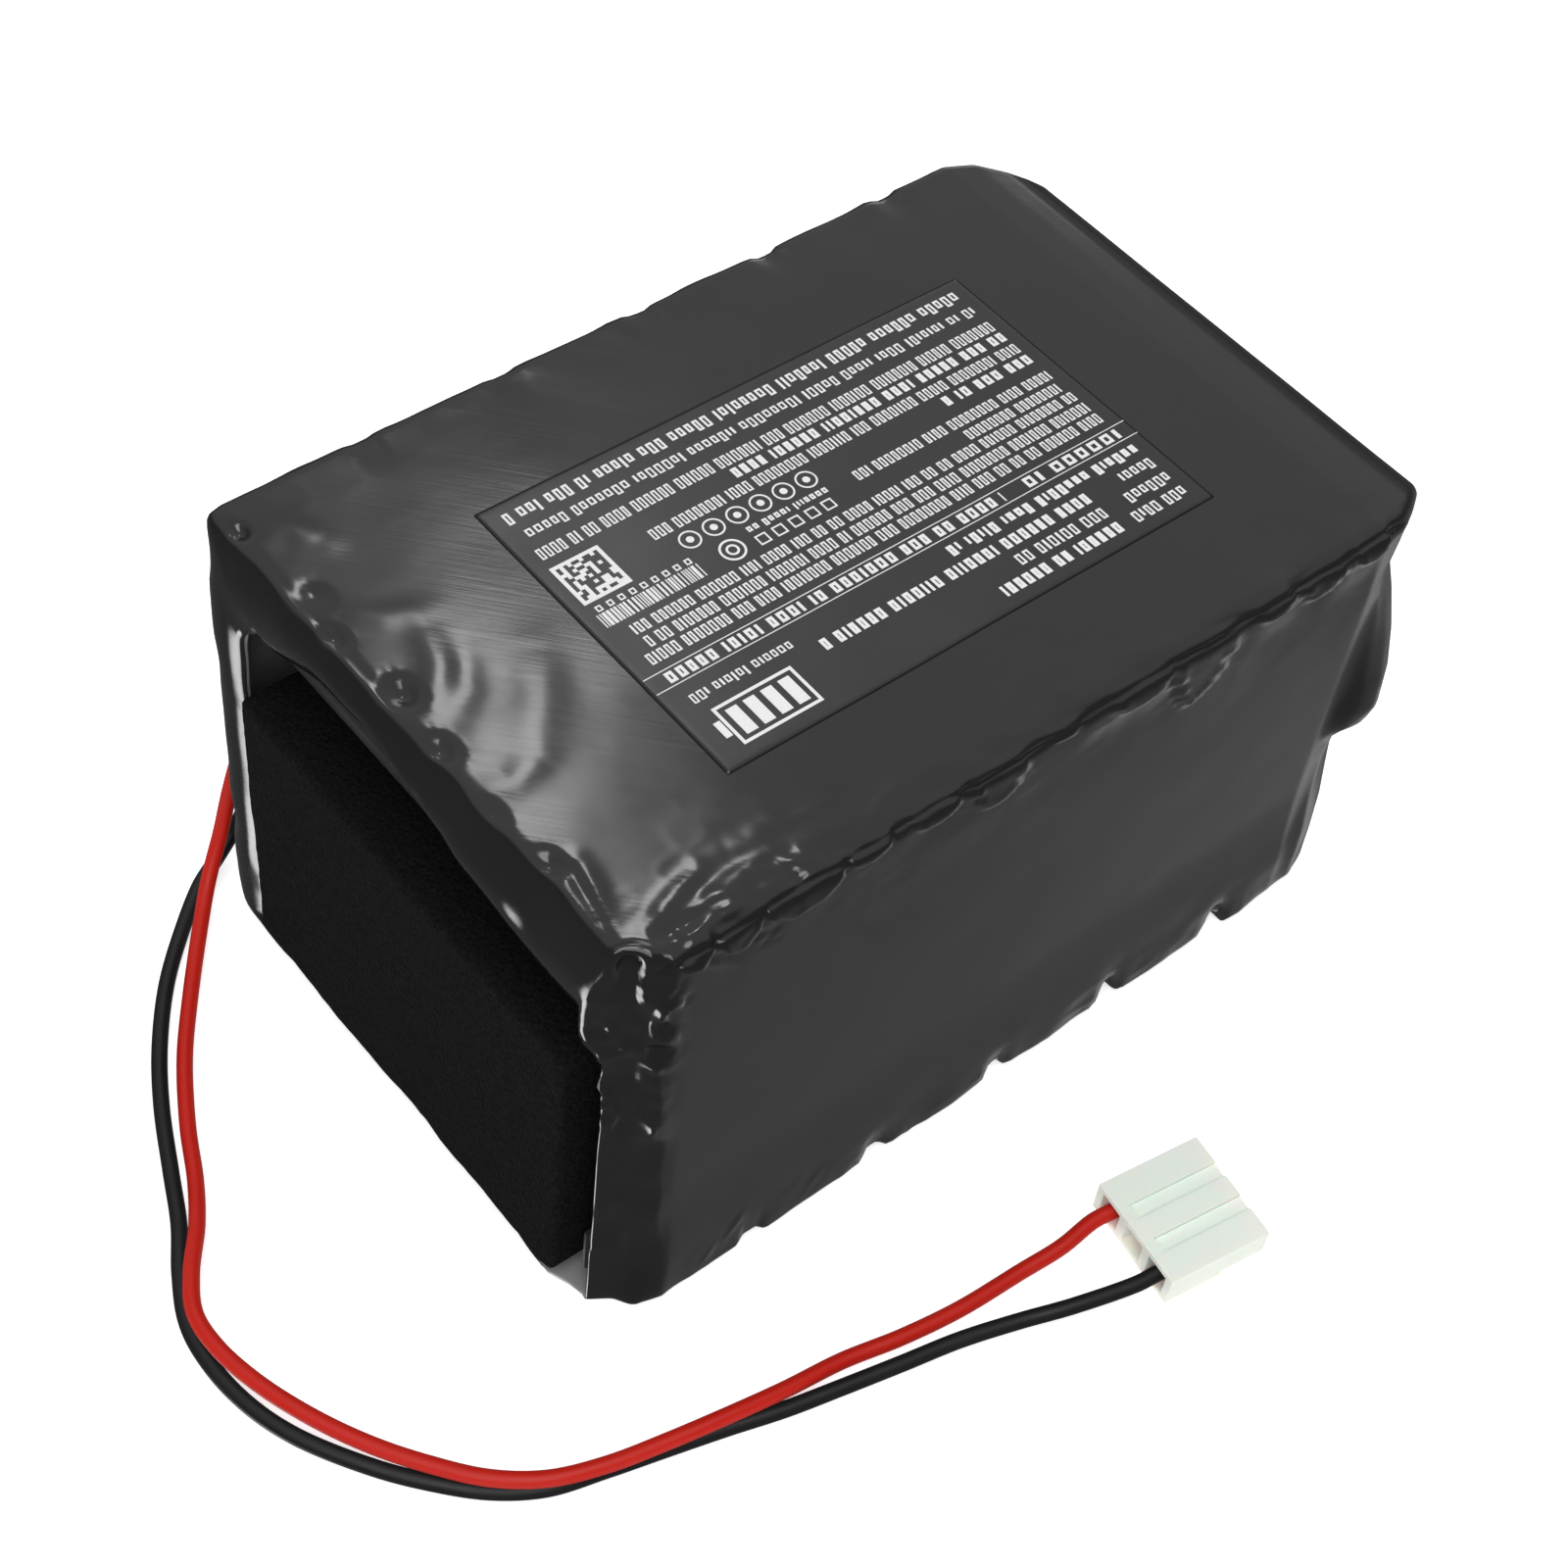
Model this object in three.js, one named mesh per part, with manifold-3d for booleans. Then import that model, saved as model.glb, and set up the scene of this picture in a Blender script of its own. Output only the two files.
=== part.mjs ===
// Lithium-ion battery pack: twenty-one 18650 cells, seven groups of three in series, in a heat-shrink
// sleeve, with a protection board behind a foam block at its open end and two leads to a three-way housing.
// Millimetres, +Z up. The pack lies on its broad bottom face. Plans are drawn in pack coordinates, whose
// zero is the pack's front left bottom corner, and one group moves them to the middle of the bottom face.
import * as THREE from "three";
import { mergeVertices } from "three/addons/utils/BufferGeometryUtils.js";
import Module from "manifold-3d";

const wasm = await Module();
wasm.setup();

// ---------------------------------------------------------------- driving dimensions
const PACK_LENGTH = 122;
const PACK_WIDTH = 82;
const FOAM_STANDS_OUT = 3;
const SLEEVE_STANDS_OUT = 5;

const CELL_DIAMETER = 18.4;
const CELL_LENGTH = 65.2;
const PITCH = 20;
const COLUMNS = 5;
const ROWS = 4;
const MARGIN = 1;
const BAY_LENGTH = PITCH;

const GAP = 0.3;
const SLEEVE_THICKNESS = 0.45;
const BOARD_THICKNESS = 0.5;
const STRIP_THICKNESS = 0.3;
const SENSE_WIRE_DIAMETER = 1;
const LEAD_DIAMETER = 2.1;

// Heights of the layers, from the floor up.
const BOTTOM_BOARD_Z = SLEEVE_THICKNESS + GAP;
const BOTTOM_WIRE_Z = BOTTOM_BOARD_Z + BOARD_THICKNESS + GAP + SENSE_WIRE_DIAMETER / 2;
const BOTTOM_STRIP_Z = BOTTOM_WIRE_Z + SENSE_WIRE_DIAMETER / 2 + GAP;
const CELL_Z = BOTTOM_STRIP_Z + STRIP_THICKNESS + GAP;
const TOP_STRIP_Z = CELL_Z + CELL_LENGTH + GAP;
const TOP_WIRE_Z = TOP_STRIP_Z + STRIP_THICKNESS + GAP + SENSE_WIRE_DIAMETER / 2;
const TOP_BOARD_Z = TOP_WIRE_Z + SENSE_WIRE_DIAMETER / 2 + GAP;
const PACK_HEIGHT = TOP_BOARD_Z + BOARD_THICKNESS + GAP + SLEEVE_THICKNESS;

const HOLDER_THICKNESS = 8;
const HOLDER_BORE = CELL_DIAMETER + 2 * GAP;
const HOLDER_CORNER = 6;
const HOLDER_NOTCH = 1.2;

// ---------------------------------------------------------------- materials
function material(color, roughness, metalness) {
  return new THREE.MeshStandardMaterial({ color, roughness, metalness });
}

const SLEEVE_BLACK = material(0x1b1c1e, 0.28, 0);
const LABEL_BLACK = material(0x26272a, 0.45, 0);
const CELL_WRAP = material(0x2f5d8c, 0.4, 0);
const HOLDER_BLACK = material(0x202124, 0.6, 0);
const NICKEL = material(0xb9b8b0, 0.35, 1);
const FIBRE_BOARD = material(0x8fa58a, 0.7, 0);
const CIRCUIT_GREEN = material(0x1f5a3a, 0.45, 0);
const CHIP_BLACK = material(0x18181a, 0.5, 0);
const FOAM_BLACK = material(0x161618, 0.95, 0);
const LEAD_RED = material(0xc22a22, 0.45, 0);
const LEAD_BLACK = material(0x1c1c1e, 0.45, 0);
const NYLON_IVORY = material(0xe9f0e2, 0.5, 0);
const TIN = material(0xc9c9c6, 0.3, 1);
const SENSE_WHITE = material(0xe6e6e4, 0.5, 0);

// ---------------------------------------------------------------- solids
const root = new THREE.Group();
const pack = new THREE.Group();
pack.position.set((FOAM_STANDS_OUT - PACK_LENGTH - SLEEVE_STANDS_OUT) / 2, -PACK_WIDTH / 2, 0);
root.add(pack);

function add(name, geometry, look, parent = pack) {
  const mesh = new THREE.Mesh(geometry, look);
  mesh.name = name;
  parent.add(mesh);
  return mesh;
}

function toSolid(geometry) {
  const bare = geometry.index ? geometry.toNonIndexed() : geometry.clone();
  bare.deleteAttribute("normal");
  bare.deleteAttribute("uv");
  const merged = mergeVertices(bare, 1e-4);
  return new wasm.Manifold(
    new wasm.Mesh({
      numProp: 3,
      vertProperties: new Float32Array(merged.attributes.position.array),
      triVerts: new Uint32Array(merged.index.array),
    }),
  );
}

function toGeometry(solid) {
  const mesh = solid.getMesh();
  const geometry = new THREE.BufferGeometry();
  geometry.setAttribute("position", new THREE.BufferAttribute(mesh.vertProperties, 3));
  geometry.setIndex(new THREE.BufferAttribute(mesh.triVerts, 1));
  geometry.computeVertexNormals();
  return geometry;
}

// A box between two corners.
function box(low, high) {
  const size = high.map((value, axis) => value - low[axis]);
  const middle = high.map((value, axis) => (value + low[axis]) / 2);
  return new THREE.BoxGeometry(...size).translate(...middle);
}

function joined(boxes) {
  return boxes.map(toSolid).reduce((whole, piece) => whole.add(piece));
}

function cut(geometry, boxes) {
  return toGeometry(boxes.map(toSolid).reduce((rest, piece) => rest.subtract(piece), toSolid(geometry)));
}

// A flat plate with the plan's outline, its underside at a height.
function plate(shape, height, thickness, curveSegments = 8) {
  return new THREE.ExtrudeGeometry(shape, { depth: thickness, bevelEnabled: false, curveSegments })
    .translate(0, 0, height);
}

// A round tube through route points. Its steps are even along its length, or shared out evenly between
// the points, which gives a short bend as many steps as a long straight.
function tube(points, diameter, sides, steps, evenByPoint = false) {
  const section = new THREE.Shape();
  for (let i = 0; i < sides; i++) {
    const angle = (2 * Math.PI * i) / sides;
    const x = (diameter / 2) * Math.cos(angle);
    const y = (diameter / 2) * Math.sin(angle);
    if (i === 0) section.moveTo(x, y);
    else section.lineTo(x, y);
  }
  section.closePath();
  const route = new THREE.CatmullRomCurve3(points.map((p) => new THREE.Vector3(...p)), false, "centripetal");
  if (evenByPoint) {
    route.getPointAt = (u, target) => route.getPoint(u, target);
    route.getTangentAt = (u, target) => route.getTangent(u, target);
  }
  return new THREE.ExtrudeGeometry(section, { steps, extrudePath: route, bevelEnabled: false });
}

// ---------------------------------------------------------------- cells
// One 18650 cell along +Z from its flat negative end to its raised positive button.
function cellGeometry() {
  const radius = CELL_DIAMETER / 2;
  const shoulder = 0.6;
  const buttonRadius = 4.4;
  const buttonHeight = 1;
  const profile = [
    [0, 0],
    [radius - shoulder, 0],
    [radius, shoulder],
    [radius, CELL_LENGTH - buttonHeight - shoulder],
    [radius - shoulder, CELL_LENGTH - buttonHeight],
    [buttonRadius + 0.4, CELL_LENGTH - buttonHeight],
    [buttonRadius, CELL_LENGTH],
    [0, CELL_LENGTH],
  ];
  return new THREE.LatheGeometry(profile.map(([x, y]) => new THREE.Vector2(x, y)), 16).rotateX(Math.PI / 2);
}

// The twenty upright cells in series order: up one column of the grid and down the next.
const seats = [];
for (let column = 0; column < COLUMNS; column++) {
  for (let step = 0; step < ROWS; step++) {
    const row = column % 2 === 0 ? step : ROWS - 1 - step;
    seats.push({
      x: MARGIN + BAY_LENGTH + PITCH * (column + 0.5),
      y: MARGIN + PITCH * (row + 0.5),
    });
  }
}
const GROUP_SIZE = 3;

// The crosswise cell counts as cell 1, so upright cell n belongs to group floor((n - 1) / 3).
function positiveEndUp(number) {
  return Math.floor((number - 1) / GROUP_SIZE) % 2 === 0;
}

seats.forEach((seat, index) => {
  const number = index + 2;
  const cell = add("cell_" + String(number).padStart(2, "0"), cellGeometry(), CELL_WRAP);
  cell.position.set(seat.x, seat.y, CELL_Z);
  if (!positiveEndUp(number)) {
    cell.rotation.x = Math.PI;
    cell.position.z = CELL_Z + CELL_LENGTH;
  }
});

// Cell 1 lies across the top of the end bay, its positive end at the back.
const CROSS_CELL_X = MARGIN + BAY_LENGTH / 2;
const CROSS_CELL_Z = TOP_STRIP_Z - 0.35 - CELL_DIAMETER / 2;
const CROSS_CELL_Y = (PACK_WIDTH - CELL_LENGTH) / 2;
const crossCell = add("cell_01", cellGeometry(), CELL_WRAP);
crossCell.rotation.x = -Math.PI / 2;
crossCell.position.set(CROSS_CELL_X, CROSS_CELL_Y, CROSS_CELL_Z);

// ---------------------------------------------------------------- cell holders
// A moulded plate with a bore for each cell, a small notch between seats round its edge, two arms beside
// the end bay and two channels in the bay's edge for the sense wires.
const BAY_ARM_WIDTH = 6.4;
const CHANNEL_ROWS = [1, 3];
const CHANNEL_HALF_WIDTH = 2.6;
const CHANNEL_DEPTH = 2.4;

function holderShape() {
  const left = MARGIN;
  const right = PACK_LENGTH - MARGIN;
  const front = MARGIN;
  const back = PACK_WIDTH - MARGIN;
  const bayEdge = MARGIN + BAY_LENGTH - 0.4;
  const armFront = front + BAY_ARM_WIDTH;
  const armBack = back - BAY_ARM_WIDTH;
  const shape = new THREE.Shape();
  shape.moveTo(left, armFront);
  shape.lineTo(left, front + HOLDER_CORNER);
  shape.lineTo(left + HOLDER_CORNER, front);
  for (let k = 1; k <= COLUMNS; k++) {
    const x = left + PITCH * k;
    shape.lineTo(x - HOLDER_NOTCH, front);
    shape.lineTo(x, front + HOLDER_NOTCH);
    shape.lineTo(x + HOLDER_NOTCH, front);
  }
  shape.lineTo(right - HOLDER_CORNER, front);
  shape.lineTo(right, front + HOLDER_CORNER);
  for (let k = 1; k < ROWS; k++) {
    const y = front + PITCH * k;
    shape.lineTo(right, y - HOLDER_NOTCH);
    shape.lineTo(right - HOLDER_NOTCH, y);
    shape.lineTo(right, y + HOLDER_NOTCH);
  }
  shape.lineTo(right, back - HOLDER_CORNER);
  shape.lineTo(right - HOLDER_CORNER, back);
  for (let k = COLUMNS; k >= 1; k--) {
    const x = left + PITCH * k;
    shape.lineTo(x + HOLDER_NOTCH, back);
    shape.lineTo(x, back - HOLDER_NOTCH);
    shape.lineTo(x - HOLDER_NOTCH, back);
  }
  shape.lineTo(left + HOLDER_CORNER, back);
  shape.lineTo(left, back - HOLDER_CORNER);
  shape.lineTo(left, armBack);
  shape.lineTo(bayEdge, armBack);
  for (const row of [...CHANNEL_ROWS].reverse()) {
    const y = front + PITCH * row;
    shape.lineTo(bayEdge, y + CHANNEL_HALF_WIDTH);
    shape.lineTo(bayEdge + CHANNEL_DEPTH, y + CHANNEL_HALF_WIDTH);
    shape.lineTo(bayEdge + CHANNEL_DEPTH, y - CHANNEL_HALF_WIDTH);
    shape.lineTo(bayEdge, y - CHANNEL_HALF_WIDTH);
  }
  shape.lineTo(bayEdge, armFront);
  shape.closePath();
  for (const seat of seats) {
    const bore = new THREE.Path();
    bore.absarc(seat.x, seat.y, HOLDER_BORE / 2, 0, 2 * Math.PI, true);
    shape.holes.push(bore);
  }
  return shape;
}

add("cell_holder_bottom", plate(holderShape(), CELL_Z, HOLDER_THICKNESS), HOLDER_BLACK);
add("cell_holder_top", plate(holderShape(), CELL_Z + CELL_LENGTH - HOLDER_THICKNESS, HOLDER_THICKNESS), HOLDER_BLACK);

// ---------------------------------------------------------------- nickel strips
// A strip covers a run of upright cells with a band from each cell to the next in the series order.
const STRIP_WIDTH = 10;

function stripBoxes(firstNumber, lastNumber, height) {
  const boxes = [];
  for (let number = firstNumber; number < lastNumber; number++) {
    const a = seats[number - 2];
    const b = seats[number - 1];
    boxes.push(
      box(
        [Math.min(a.x, b.x) - STRIP_WIDTH / 2, Math.min(a.y, b.y) - STRIP_WIDTH / 2, height],
        [Math.max(a.x, b.x) + STRIP_WIDTH / 2, Math.max(a.y, b.y) + STRIP_WIDTH / 2, height + STRIP_THICKNESS],
      ),
    );
  }
  return boxes;
}

// The tab from a strip, across the bay and down or up over one end of the crosswise cell.
const CROSS_TAB_WIDTH = 7;

function crossTabBoxes(endY, seatY, stripZ, inwards) {
  const outer = endY + inwards * (GAP + STRIP_THICKNESS);
  const inner = endY + inwards * GAP;
  const low = Math.min(outer, inner);
  const high = Math.max(outer, inner);
  const left = CROSS_CELL_X - CROSS_TAB_WIDTH / 2;
  return [
    box(
      [left, Math.min(low, seatY - 2), stripZ],
      [MARGIN + BAY_LENGTH + PITCH / 2, Math.max(high, seatY + 2), stripZ + STRIP_THICKNESS],
    ),
    box(
      [left, low, Math.min(stripZ, CROSS_CELL_Z - CROSS_TAB_WIDTH / 2)],
      [left + CROSS_TAB_WIDTH, high, Math.max(stripZ + STRIP_THICKNESS, CROSS_CELL_Z + CROSS_TAB_WIDTH / 2)],
    ),
  ];
}

const backTab = crossTabBoxes(CROSS_CELL_Y + CELL_LENGTH, seats[ROWS - 1].y, TOP_STRIP_Z, 1);
const frontTab = crossTabBoxes(CROSS_CELL_Y, seats[0].y, BOTTOM_STRIP_Z, -1);

const TOP_RUNS = [[2, 6], [7, 12], [13, 18], [19, 21]];
const BOTTOM_RUNS = [[2, 3], [4, 9], [10, 15], [16, 21]];

TOP_RUNS.forEach(([first, last], index) => {
  const boxes = stripBoxes(first, last, TOP_STRIP_Z);
  if (index === 0) boxes.push(...backTab);
  add("nickel_strip_top_" + (index + 1), toGeometry(joined(boxes)), NICKEL);
});
BOTTOM_RUNS.forEach(([first, last], index) => {
  const boxes = stripBoxes(first, last, BOTTOM_STRIP_Z);
  if (index === 0) boxes.push(...frontTab);
  add("nickel_strip_bottom_" + (index + 1), toGeometry(joined(boxes)), NICKEL);
});

// ---------------------------------------------------------------- insulation boards
const BOARD_MARGIN = 3;
const BOARD_CORNER = 5;

function broadBoardShape() {
  const left = MARGIN + BAY_LENGTH;
  const right = PACK_LENGTH - BOARD_MARGIN;
  const front = BOARD_MARGIN;
  const back = PACK_WIDTH - BOARD_MARGIN;
  const shape = new THREE.Shape();
  shape.moveTo(left, front);
  shape.lineTo(right - BOARD_CORNER, front);
  shape.lineTo(right, front + BOARD_CORNER);
  shape.lineTo(right, back - BOARD_CORNER);
  shape.lineTo(right - BOARD_CORNER, back);
  shape.lineTo(left, back);
  shape.closePath();
  return shape;
}

add("insulation_board_bottom", plate(broadBoardShape(), BOTTOM_BOARD_Z, BOARD_THICKNESS), FIBRE_BOARD);
add("insulation_board_top", plate(broadBoardShape(), TOP_BOARD_Z, BOARD_THICKNESS), FIBRE_BOARD);

const SIDE_BOARD_LOW = CELL_Z + HOLDER_THICKNESS + GAP;
const SIDE_BOARD_HIGH = CELL_Z + CELL_LENGTH - HOLDER_THICKNESS - GAP;
const SIDE_BOARD_INSET = 0.85;
const SIDE_BOARD_LEFT = MARGIN + BAY_LENGTH;
const SIDE_BOARD_RIGHT = PACK_LENGTH - 7.5;

function sideBoard(low) {
  return box(
    [SIDE_BOARD_LEFT, low, SIDE_BOARD_LOW],
    [SIDE_BOARD_RIGHT, low + BOARD_THICKNESS, SIDE_BOARD_HIGH],
  );
}

add("insulation_board_front", sideBoard(SIDE_BOARD_INSET), FIBRE_BOARD);
add("insulation_board_back", sideBoard(PACK_WIDTH - SIDE_BOARD_INSET - BOARD_THICKNESS), FIBRE_BOARD);

const END_BOARD_MARGIN = 7;
const endBoardX = PACK_LENGTH - MARGIN + GAP;
add(
  "insulation_board_end",
  box(
    [endBoardX, END_BOARD_MARGIN, CELL_Z],
    [endBoardX + BOARD_THICKNESS, PACK_WIDTH - END_BOARD_MARGIN, CELL_Z + CELL_LENGTH],
  ),
  FIBRE_BOARD,
);

// ---------------------------------------------------------------- protection board
const CIRCUIT_X = 12;
const CIRCUIT_THICKNESS = 1.6;
const CIRCUIT_FRONT = 11;
const CIRCUIT_BACK = 71;
const CIRCUIT_LOW = 5;
const CIRCUIT_HIGH = 47;
add(
  "protection_circuit_board",
  box([CIRCUIT_X, CIRCUIT_FRONT, CIRCUIT_LOW], [CIRCUIT_X + CIRCUIT_THICKNESS, CIRCUIT_BACK, CIRCUIT_HIGH]),
  CIRCUIT_GREEN,
);

const TRANSISTOR_COUNT = 4;
const TRANSISTOR_PITCH = 11;
const TRANSISTOR_WIDTH = 8;
const TRANSISTOR_HEIGHT = 9;
const TRANSISTOR_THICKNESS = 2.4;
const TRANSISTOR_Z = 13;
for (let i = 0; i < TRANSISTOR_COUNT; i++) {
  const y = CIRCUIT_FRONT + 5 + TRANSISTOR_PITCH * i;
  const face = CIRCUIT_X - GAP;
  const body = box(
    [face - TRANSISTOR_THICKNESS, y, TRANSISTOR_Z],
    [face, y + TRANSISTOR_WIDTH, TRANSISTOR_Z + TRANSISTOR_HEIGHT],
  );
  const tab = box(
    [face - 0.8, y + 0.8, TRANSISTOR_Z + TRANSISTOR_HEIGHT - 0.5],
    [face, y + TRANSISTOR_WIDTH - 0.8, TRANSISTOR_Z + TRANSISTOR_HEIGHT + 1.6],
  );
  const legs = [1.2, 5.4].map((offset) =>
    box([face - 0.9, y + offset, TRANSISTOR_Z - 2.2], [face, y + offset + 1.4, TRANSISTOR_Z + 0.5]),
  );
  add("switching_transistor_" + (i + 1), toGeometry(joined([body, tab, ...legs])), CHIP_BLACK);
}

// Two four-way plugs on the back of the board take the eight sense wires.
const PLUG_LEFT = CIRCUIT_X + CIRCUIT_THICKNESS + GAP;
const PLUG_DEPTH = 4.6;
const PLUG_FRONT = 35.5;
const PLUG_BACK = 46.5;
const PLUG_HEIGHT = 6;
const UPPER_PLUG_Z = 34;
const LOWER_PLUG_Z = 25;
for (const [name, z] of [["sense_plug_upper", UPPER_PLUG_Z], ["sense_plug_lower", LOWER_PLUG_Z]]) {
  add(name, box([PLUG_LEFT, PLUG_FRONT, z], [PLUG_LEFT + PLUG_DEPTH, PLUG_BACK, z + PLUG_HEIGHT]), NYLON_IVORY);
}

// ---------------------------------------------------------------- sense wires
// Each wire lies flat over the strips, drops through a channel in the holder and enters its plug.
const SENSE_SIDES = 6;
const SENSE_STEPS = 27;
const DROP_X = MARGIN + BAY_LENGTH + 0.1;
const PLUG_MIDDLE_X = PLUG_LEFT + PLUG_DEPTH / 2;
const SENSE_ROWS = [
  { y: 20, plugY: 37, lateness: 3 },
  { y: 22, plugY: 39.6, lateness: 0 },
  { y: 60, plugY: 42.4, lateness: 0 },
  { y: 62, plugY: 45, lateness: 3 },
];
const TOP_SENSE_ENDS = [33, 55, 95, 113];
const BOTTOM_SENSE_ENDS = [34, 45, 80, 110];

// The outer wire of each pair turns towards the plug later, so that the two stay apart.
function senseRoute(row, endX, layerZ, edgeZ, spreadZ, plugZ) {
  const towards = Math.sign(plugZ - layerZ);
  const turnZ = spreadZ + towards * row.lateness;
  return [
    [endX, row.y, layerZ],
    [DROP_X + 7, row.y, layerZ],
    [DROP_X + 3.2, row.y, layerZ + towards * 0.05],
    [DROP_X + 0.9, row.y, layerZ + towards * 1.2],
    [DROP_X, row.y, edgeZ],
    [DROP_X - 0.2, row.y, turnZ],
    [PLUG_MIDDLE_X + 1.4, (row.y + row.plugY) / 2, (turnZ + plugZ) / 2],
    [PLUG_MIDDLE_X, row.plugY, plugZ - towards * 3],
    [PLUG_MIDDLE_X, row.plugY, plugZ - towards * GAP],
  ];
}

SENSE_ROWS.forEach((row, index) => {
  const top = senseRoute(row, TOP_SENSE_ENDS[index], TOP_WIRE_Z, 64, 52, UPPER_PLUG_Z + PLUG_HEIGHT);
  add("sense_wire_top_" + (index + 1), tube(top, SENSE_WIRE_DIAMETER, SENSE_SIDES, SENSE_STEPS, true), SENSE_WHITE);
  const bottom = senseRoute(row, BOTTOM_SENSE_ENDS[index], BOTTOM_WIRE_Z, 6, 11, LOWER_PLUG_Z);
  add(
    "sense_wire_bottom_" + (index + 1),
    tube(bottom, SENSE_WIRE_DIAMETER, SENSE_SIDES, SENSE_STEPS, true),
    SENSE_WHITE,
  );
});

// ---------------------------------------------------------------- foam block
const FOAM_SIDE_INSET = 8.6;
const FOAM_LOW = 3.5;
const FOAM_HIGH = 49.5;
const FOAM_DEPTH = 8;
add(
  "end_foam_block",
  box(
    [-FOAM_STANDS_OUT, FOAM_SIDE_INSET, FOAM_LOW],
    [FOAM_DEPTH, PACK_WIDTH - FOAM_SIDE_INSET, FOAM_HIGH],
  ),
  FOAM_BLACK,
);

// ---------------------------------------------------------------- heat-shrink sleeve
// Stations along the sleeve, from the lip at the foam end to the lip at the far end. Each says how far the
// wall lies inside the pack's box at the sides, top and bottom, and how its thickness is turned. The
// section's corners sharpen towards the lips.
const SLEEVE_CORNER = 2.5;
const CORNER_SHARPENING = 0.22;
const CORNER_STEPS = 3;
const STATIONS = [
  { x: -0.8, side: 8.2, top: 7, bottom: 3, along: 1, across: 0 },
  { x: -1, side: 7, top: 3.6, bottom: 2, along: 1, across: 0.1 },
  { x: -0.3, side: 5.4, top: 1.6, bottom: 0.9, along: 0.9, across: 0.4 },
  { x: 1, side: 3.6, top: 0.5, bottom: 0.3, along: 0.75, across: 0.65 },
  { x: 3.2, side: 1.6, top: 0, bottom: 0, along: 0.4, across: 0.9 },
  { x: 7, side: 0, top: 0, bottom: 0, along: 0, across: 1 },
  { x: PACK_LENGTH - 7, side: 0, top: 0, bottom: 0, along: 0, across: 1 },
  { x: PACK_LENGTH - 1.6, side: 1.4, top: 0, bottom: 0, along: -0.2, across: 1 },
  { x: PACK_LENGTH + 1.2, side: 2.6, top: 0.6, bottom: 0.5, along: -0.6, across: 0.8 },
  { x: PACK_LENGTH + 3.4, side: 4, top: 1.8, bottom: 1.2, along: -0.8, across: 0.6 },
  { x: PACK_LENGTH + 4.6, side: 5.6, top: 3.6, bottom: 2.2, along: -1, across: 0.3 },
  { x: PACK_LENGTH + SLEEVE_STANDS_OUT, side: 7.5, top: 5.6, bottom: 3.2, along: -1, across: 0 },
];

// A ring of points round one station: depth 0 is the outer surface and depth 1 the inner one.
function sleeveRing(station, depth) {
  const inset = depth * SLEEVE_THICKNESS * station.across;
  const x = station.x + depth * SLEEVE_THICKNESS * station.along;
  const front = station.side + inset;
  const back = PACK_WIDTH - station.side - inset;
  const low = station.bottom + inset;
  const high = PACK_HEIGHT - station.top - inset;
  const radius = SLEEVE_CORNER - CORNER_SHARPENING * station.side - inset;
  const corners = [
    { y: front + radius, z: low + radius, turn: Math.PI },
    { y: back - radius, z: low + radius, turn: 1.5 * Math.PI },
    { y: back - radius, z: high - radius, turn: 0 },
    { y: front + radius, z: high - radius, turn: 0.5 * Math.PI },
  ];
  return corners.flatMap((corner) =>
    Array.from({ length: CORNER_STEPS + 1 }, (_, i) => {
      const angle = corner.turn + (Math.PI / 2) * (i / CORNER_STEPS);
      return [x, corner.y + radius * Math.cos(angle), corner.z + radius * Math.sin(angle)];
    }),
  );
}

function sleeveGeometry() {
  const rings = [
    ...STATIONS.map((station) => sleeveRing(station, 0)),
    ...[...STATIONS].reverse().map((station) => sleeveRing(station, 1)),
  ];
  const around = rings[0].length;
  const index = [];
  rings.forEach((ring, r) => {
    const next = (r + 1) % rings.length;
    for (let i = 0; i < around; i++) {
      const j = (i + 1) % around;
      const a = r * around + i;
      const b = r * around + j;
      const c = next * around + j;
      const d = next * around + i;
      index.push(a, b, c, a, c, d);
    }
  });
  const geometry = new THREE.BufferGeometry();
  geometry.setAttribute("position", new THREE.Float32BufferAttribute(rings.flat(2), 3));
  geometry.setIndex(index);
  geometry.computeVertexNormals();
  return geometry;
}

// The slit that the leads leave by, low in the back wall near the foam end.
const LEAD_EXIT_X = 10.4;
const RED_EXIT_Z = 31;
const BLACK_EXIT_Z = 27.6;
const SLIT_MARGIN = LEAD_DIAMETER / 2 + 0.4;
const slit = box(
  [LEAD_EXIT_X - SLIT_MARGIN, PACK_WIDTH - 3, BLACK_EXIT_Z - SLIT_MARGIN],
  [LEAD_EXIT_X + SLIT_MARGIN, PACK_WIDTH + 3, RED_EXIT_Z + SLIT_MARGIN],
);
add("heat_shrink_sleeve", cut(sleeveGeometry(), [slit]), SLEEVE_BLACK);

// ---------------------------------------------------------------- label
const LABEL_LEFT = 25;
const LABEL_RIGHT = 100;
const LABEL_FRONT = 17;
const LABEL_BACK = 64.5;
const LABEL_THICKNESS = 0.15;
add(
  "rating_label",
  box(
    [LABEL_LEFT, LABEL_FRONT, PACK_HEIGHT + GAP],
    [LABEL_RIGHT, LABEL_BACK, PACK_HEIGHT + GAP + LABEL_THICKNESS],
  ),
  LABEL_BLACK,
);

// ---------------------------------------------------------------- connector
// The three-way crimp housing lies on the floor in front of the pack. Its own frame has the leads coming in
// along +X, the ways side by side along Y and its underside at the floor.
const HOUSING_LENGTH = 15.2;
const HOUSING_WIDTH = 15.9;
const HOUSING_HEIGHT = 5.2;
const HOUSING_PITCH = 5;
const HOUSING_PLACE = [66.15, -31.8];
const HOUSING_TURN = THREE.MathUtils.degToRad(-8.7);
const CAVITY = 3.6;
const CAVITY_LENGTH = 12.4;
const MATING_WINDOW = 2.2;
const WAY_Z = HOUSING_HEIGHT / 2;

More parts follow.
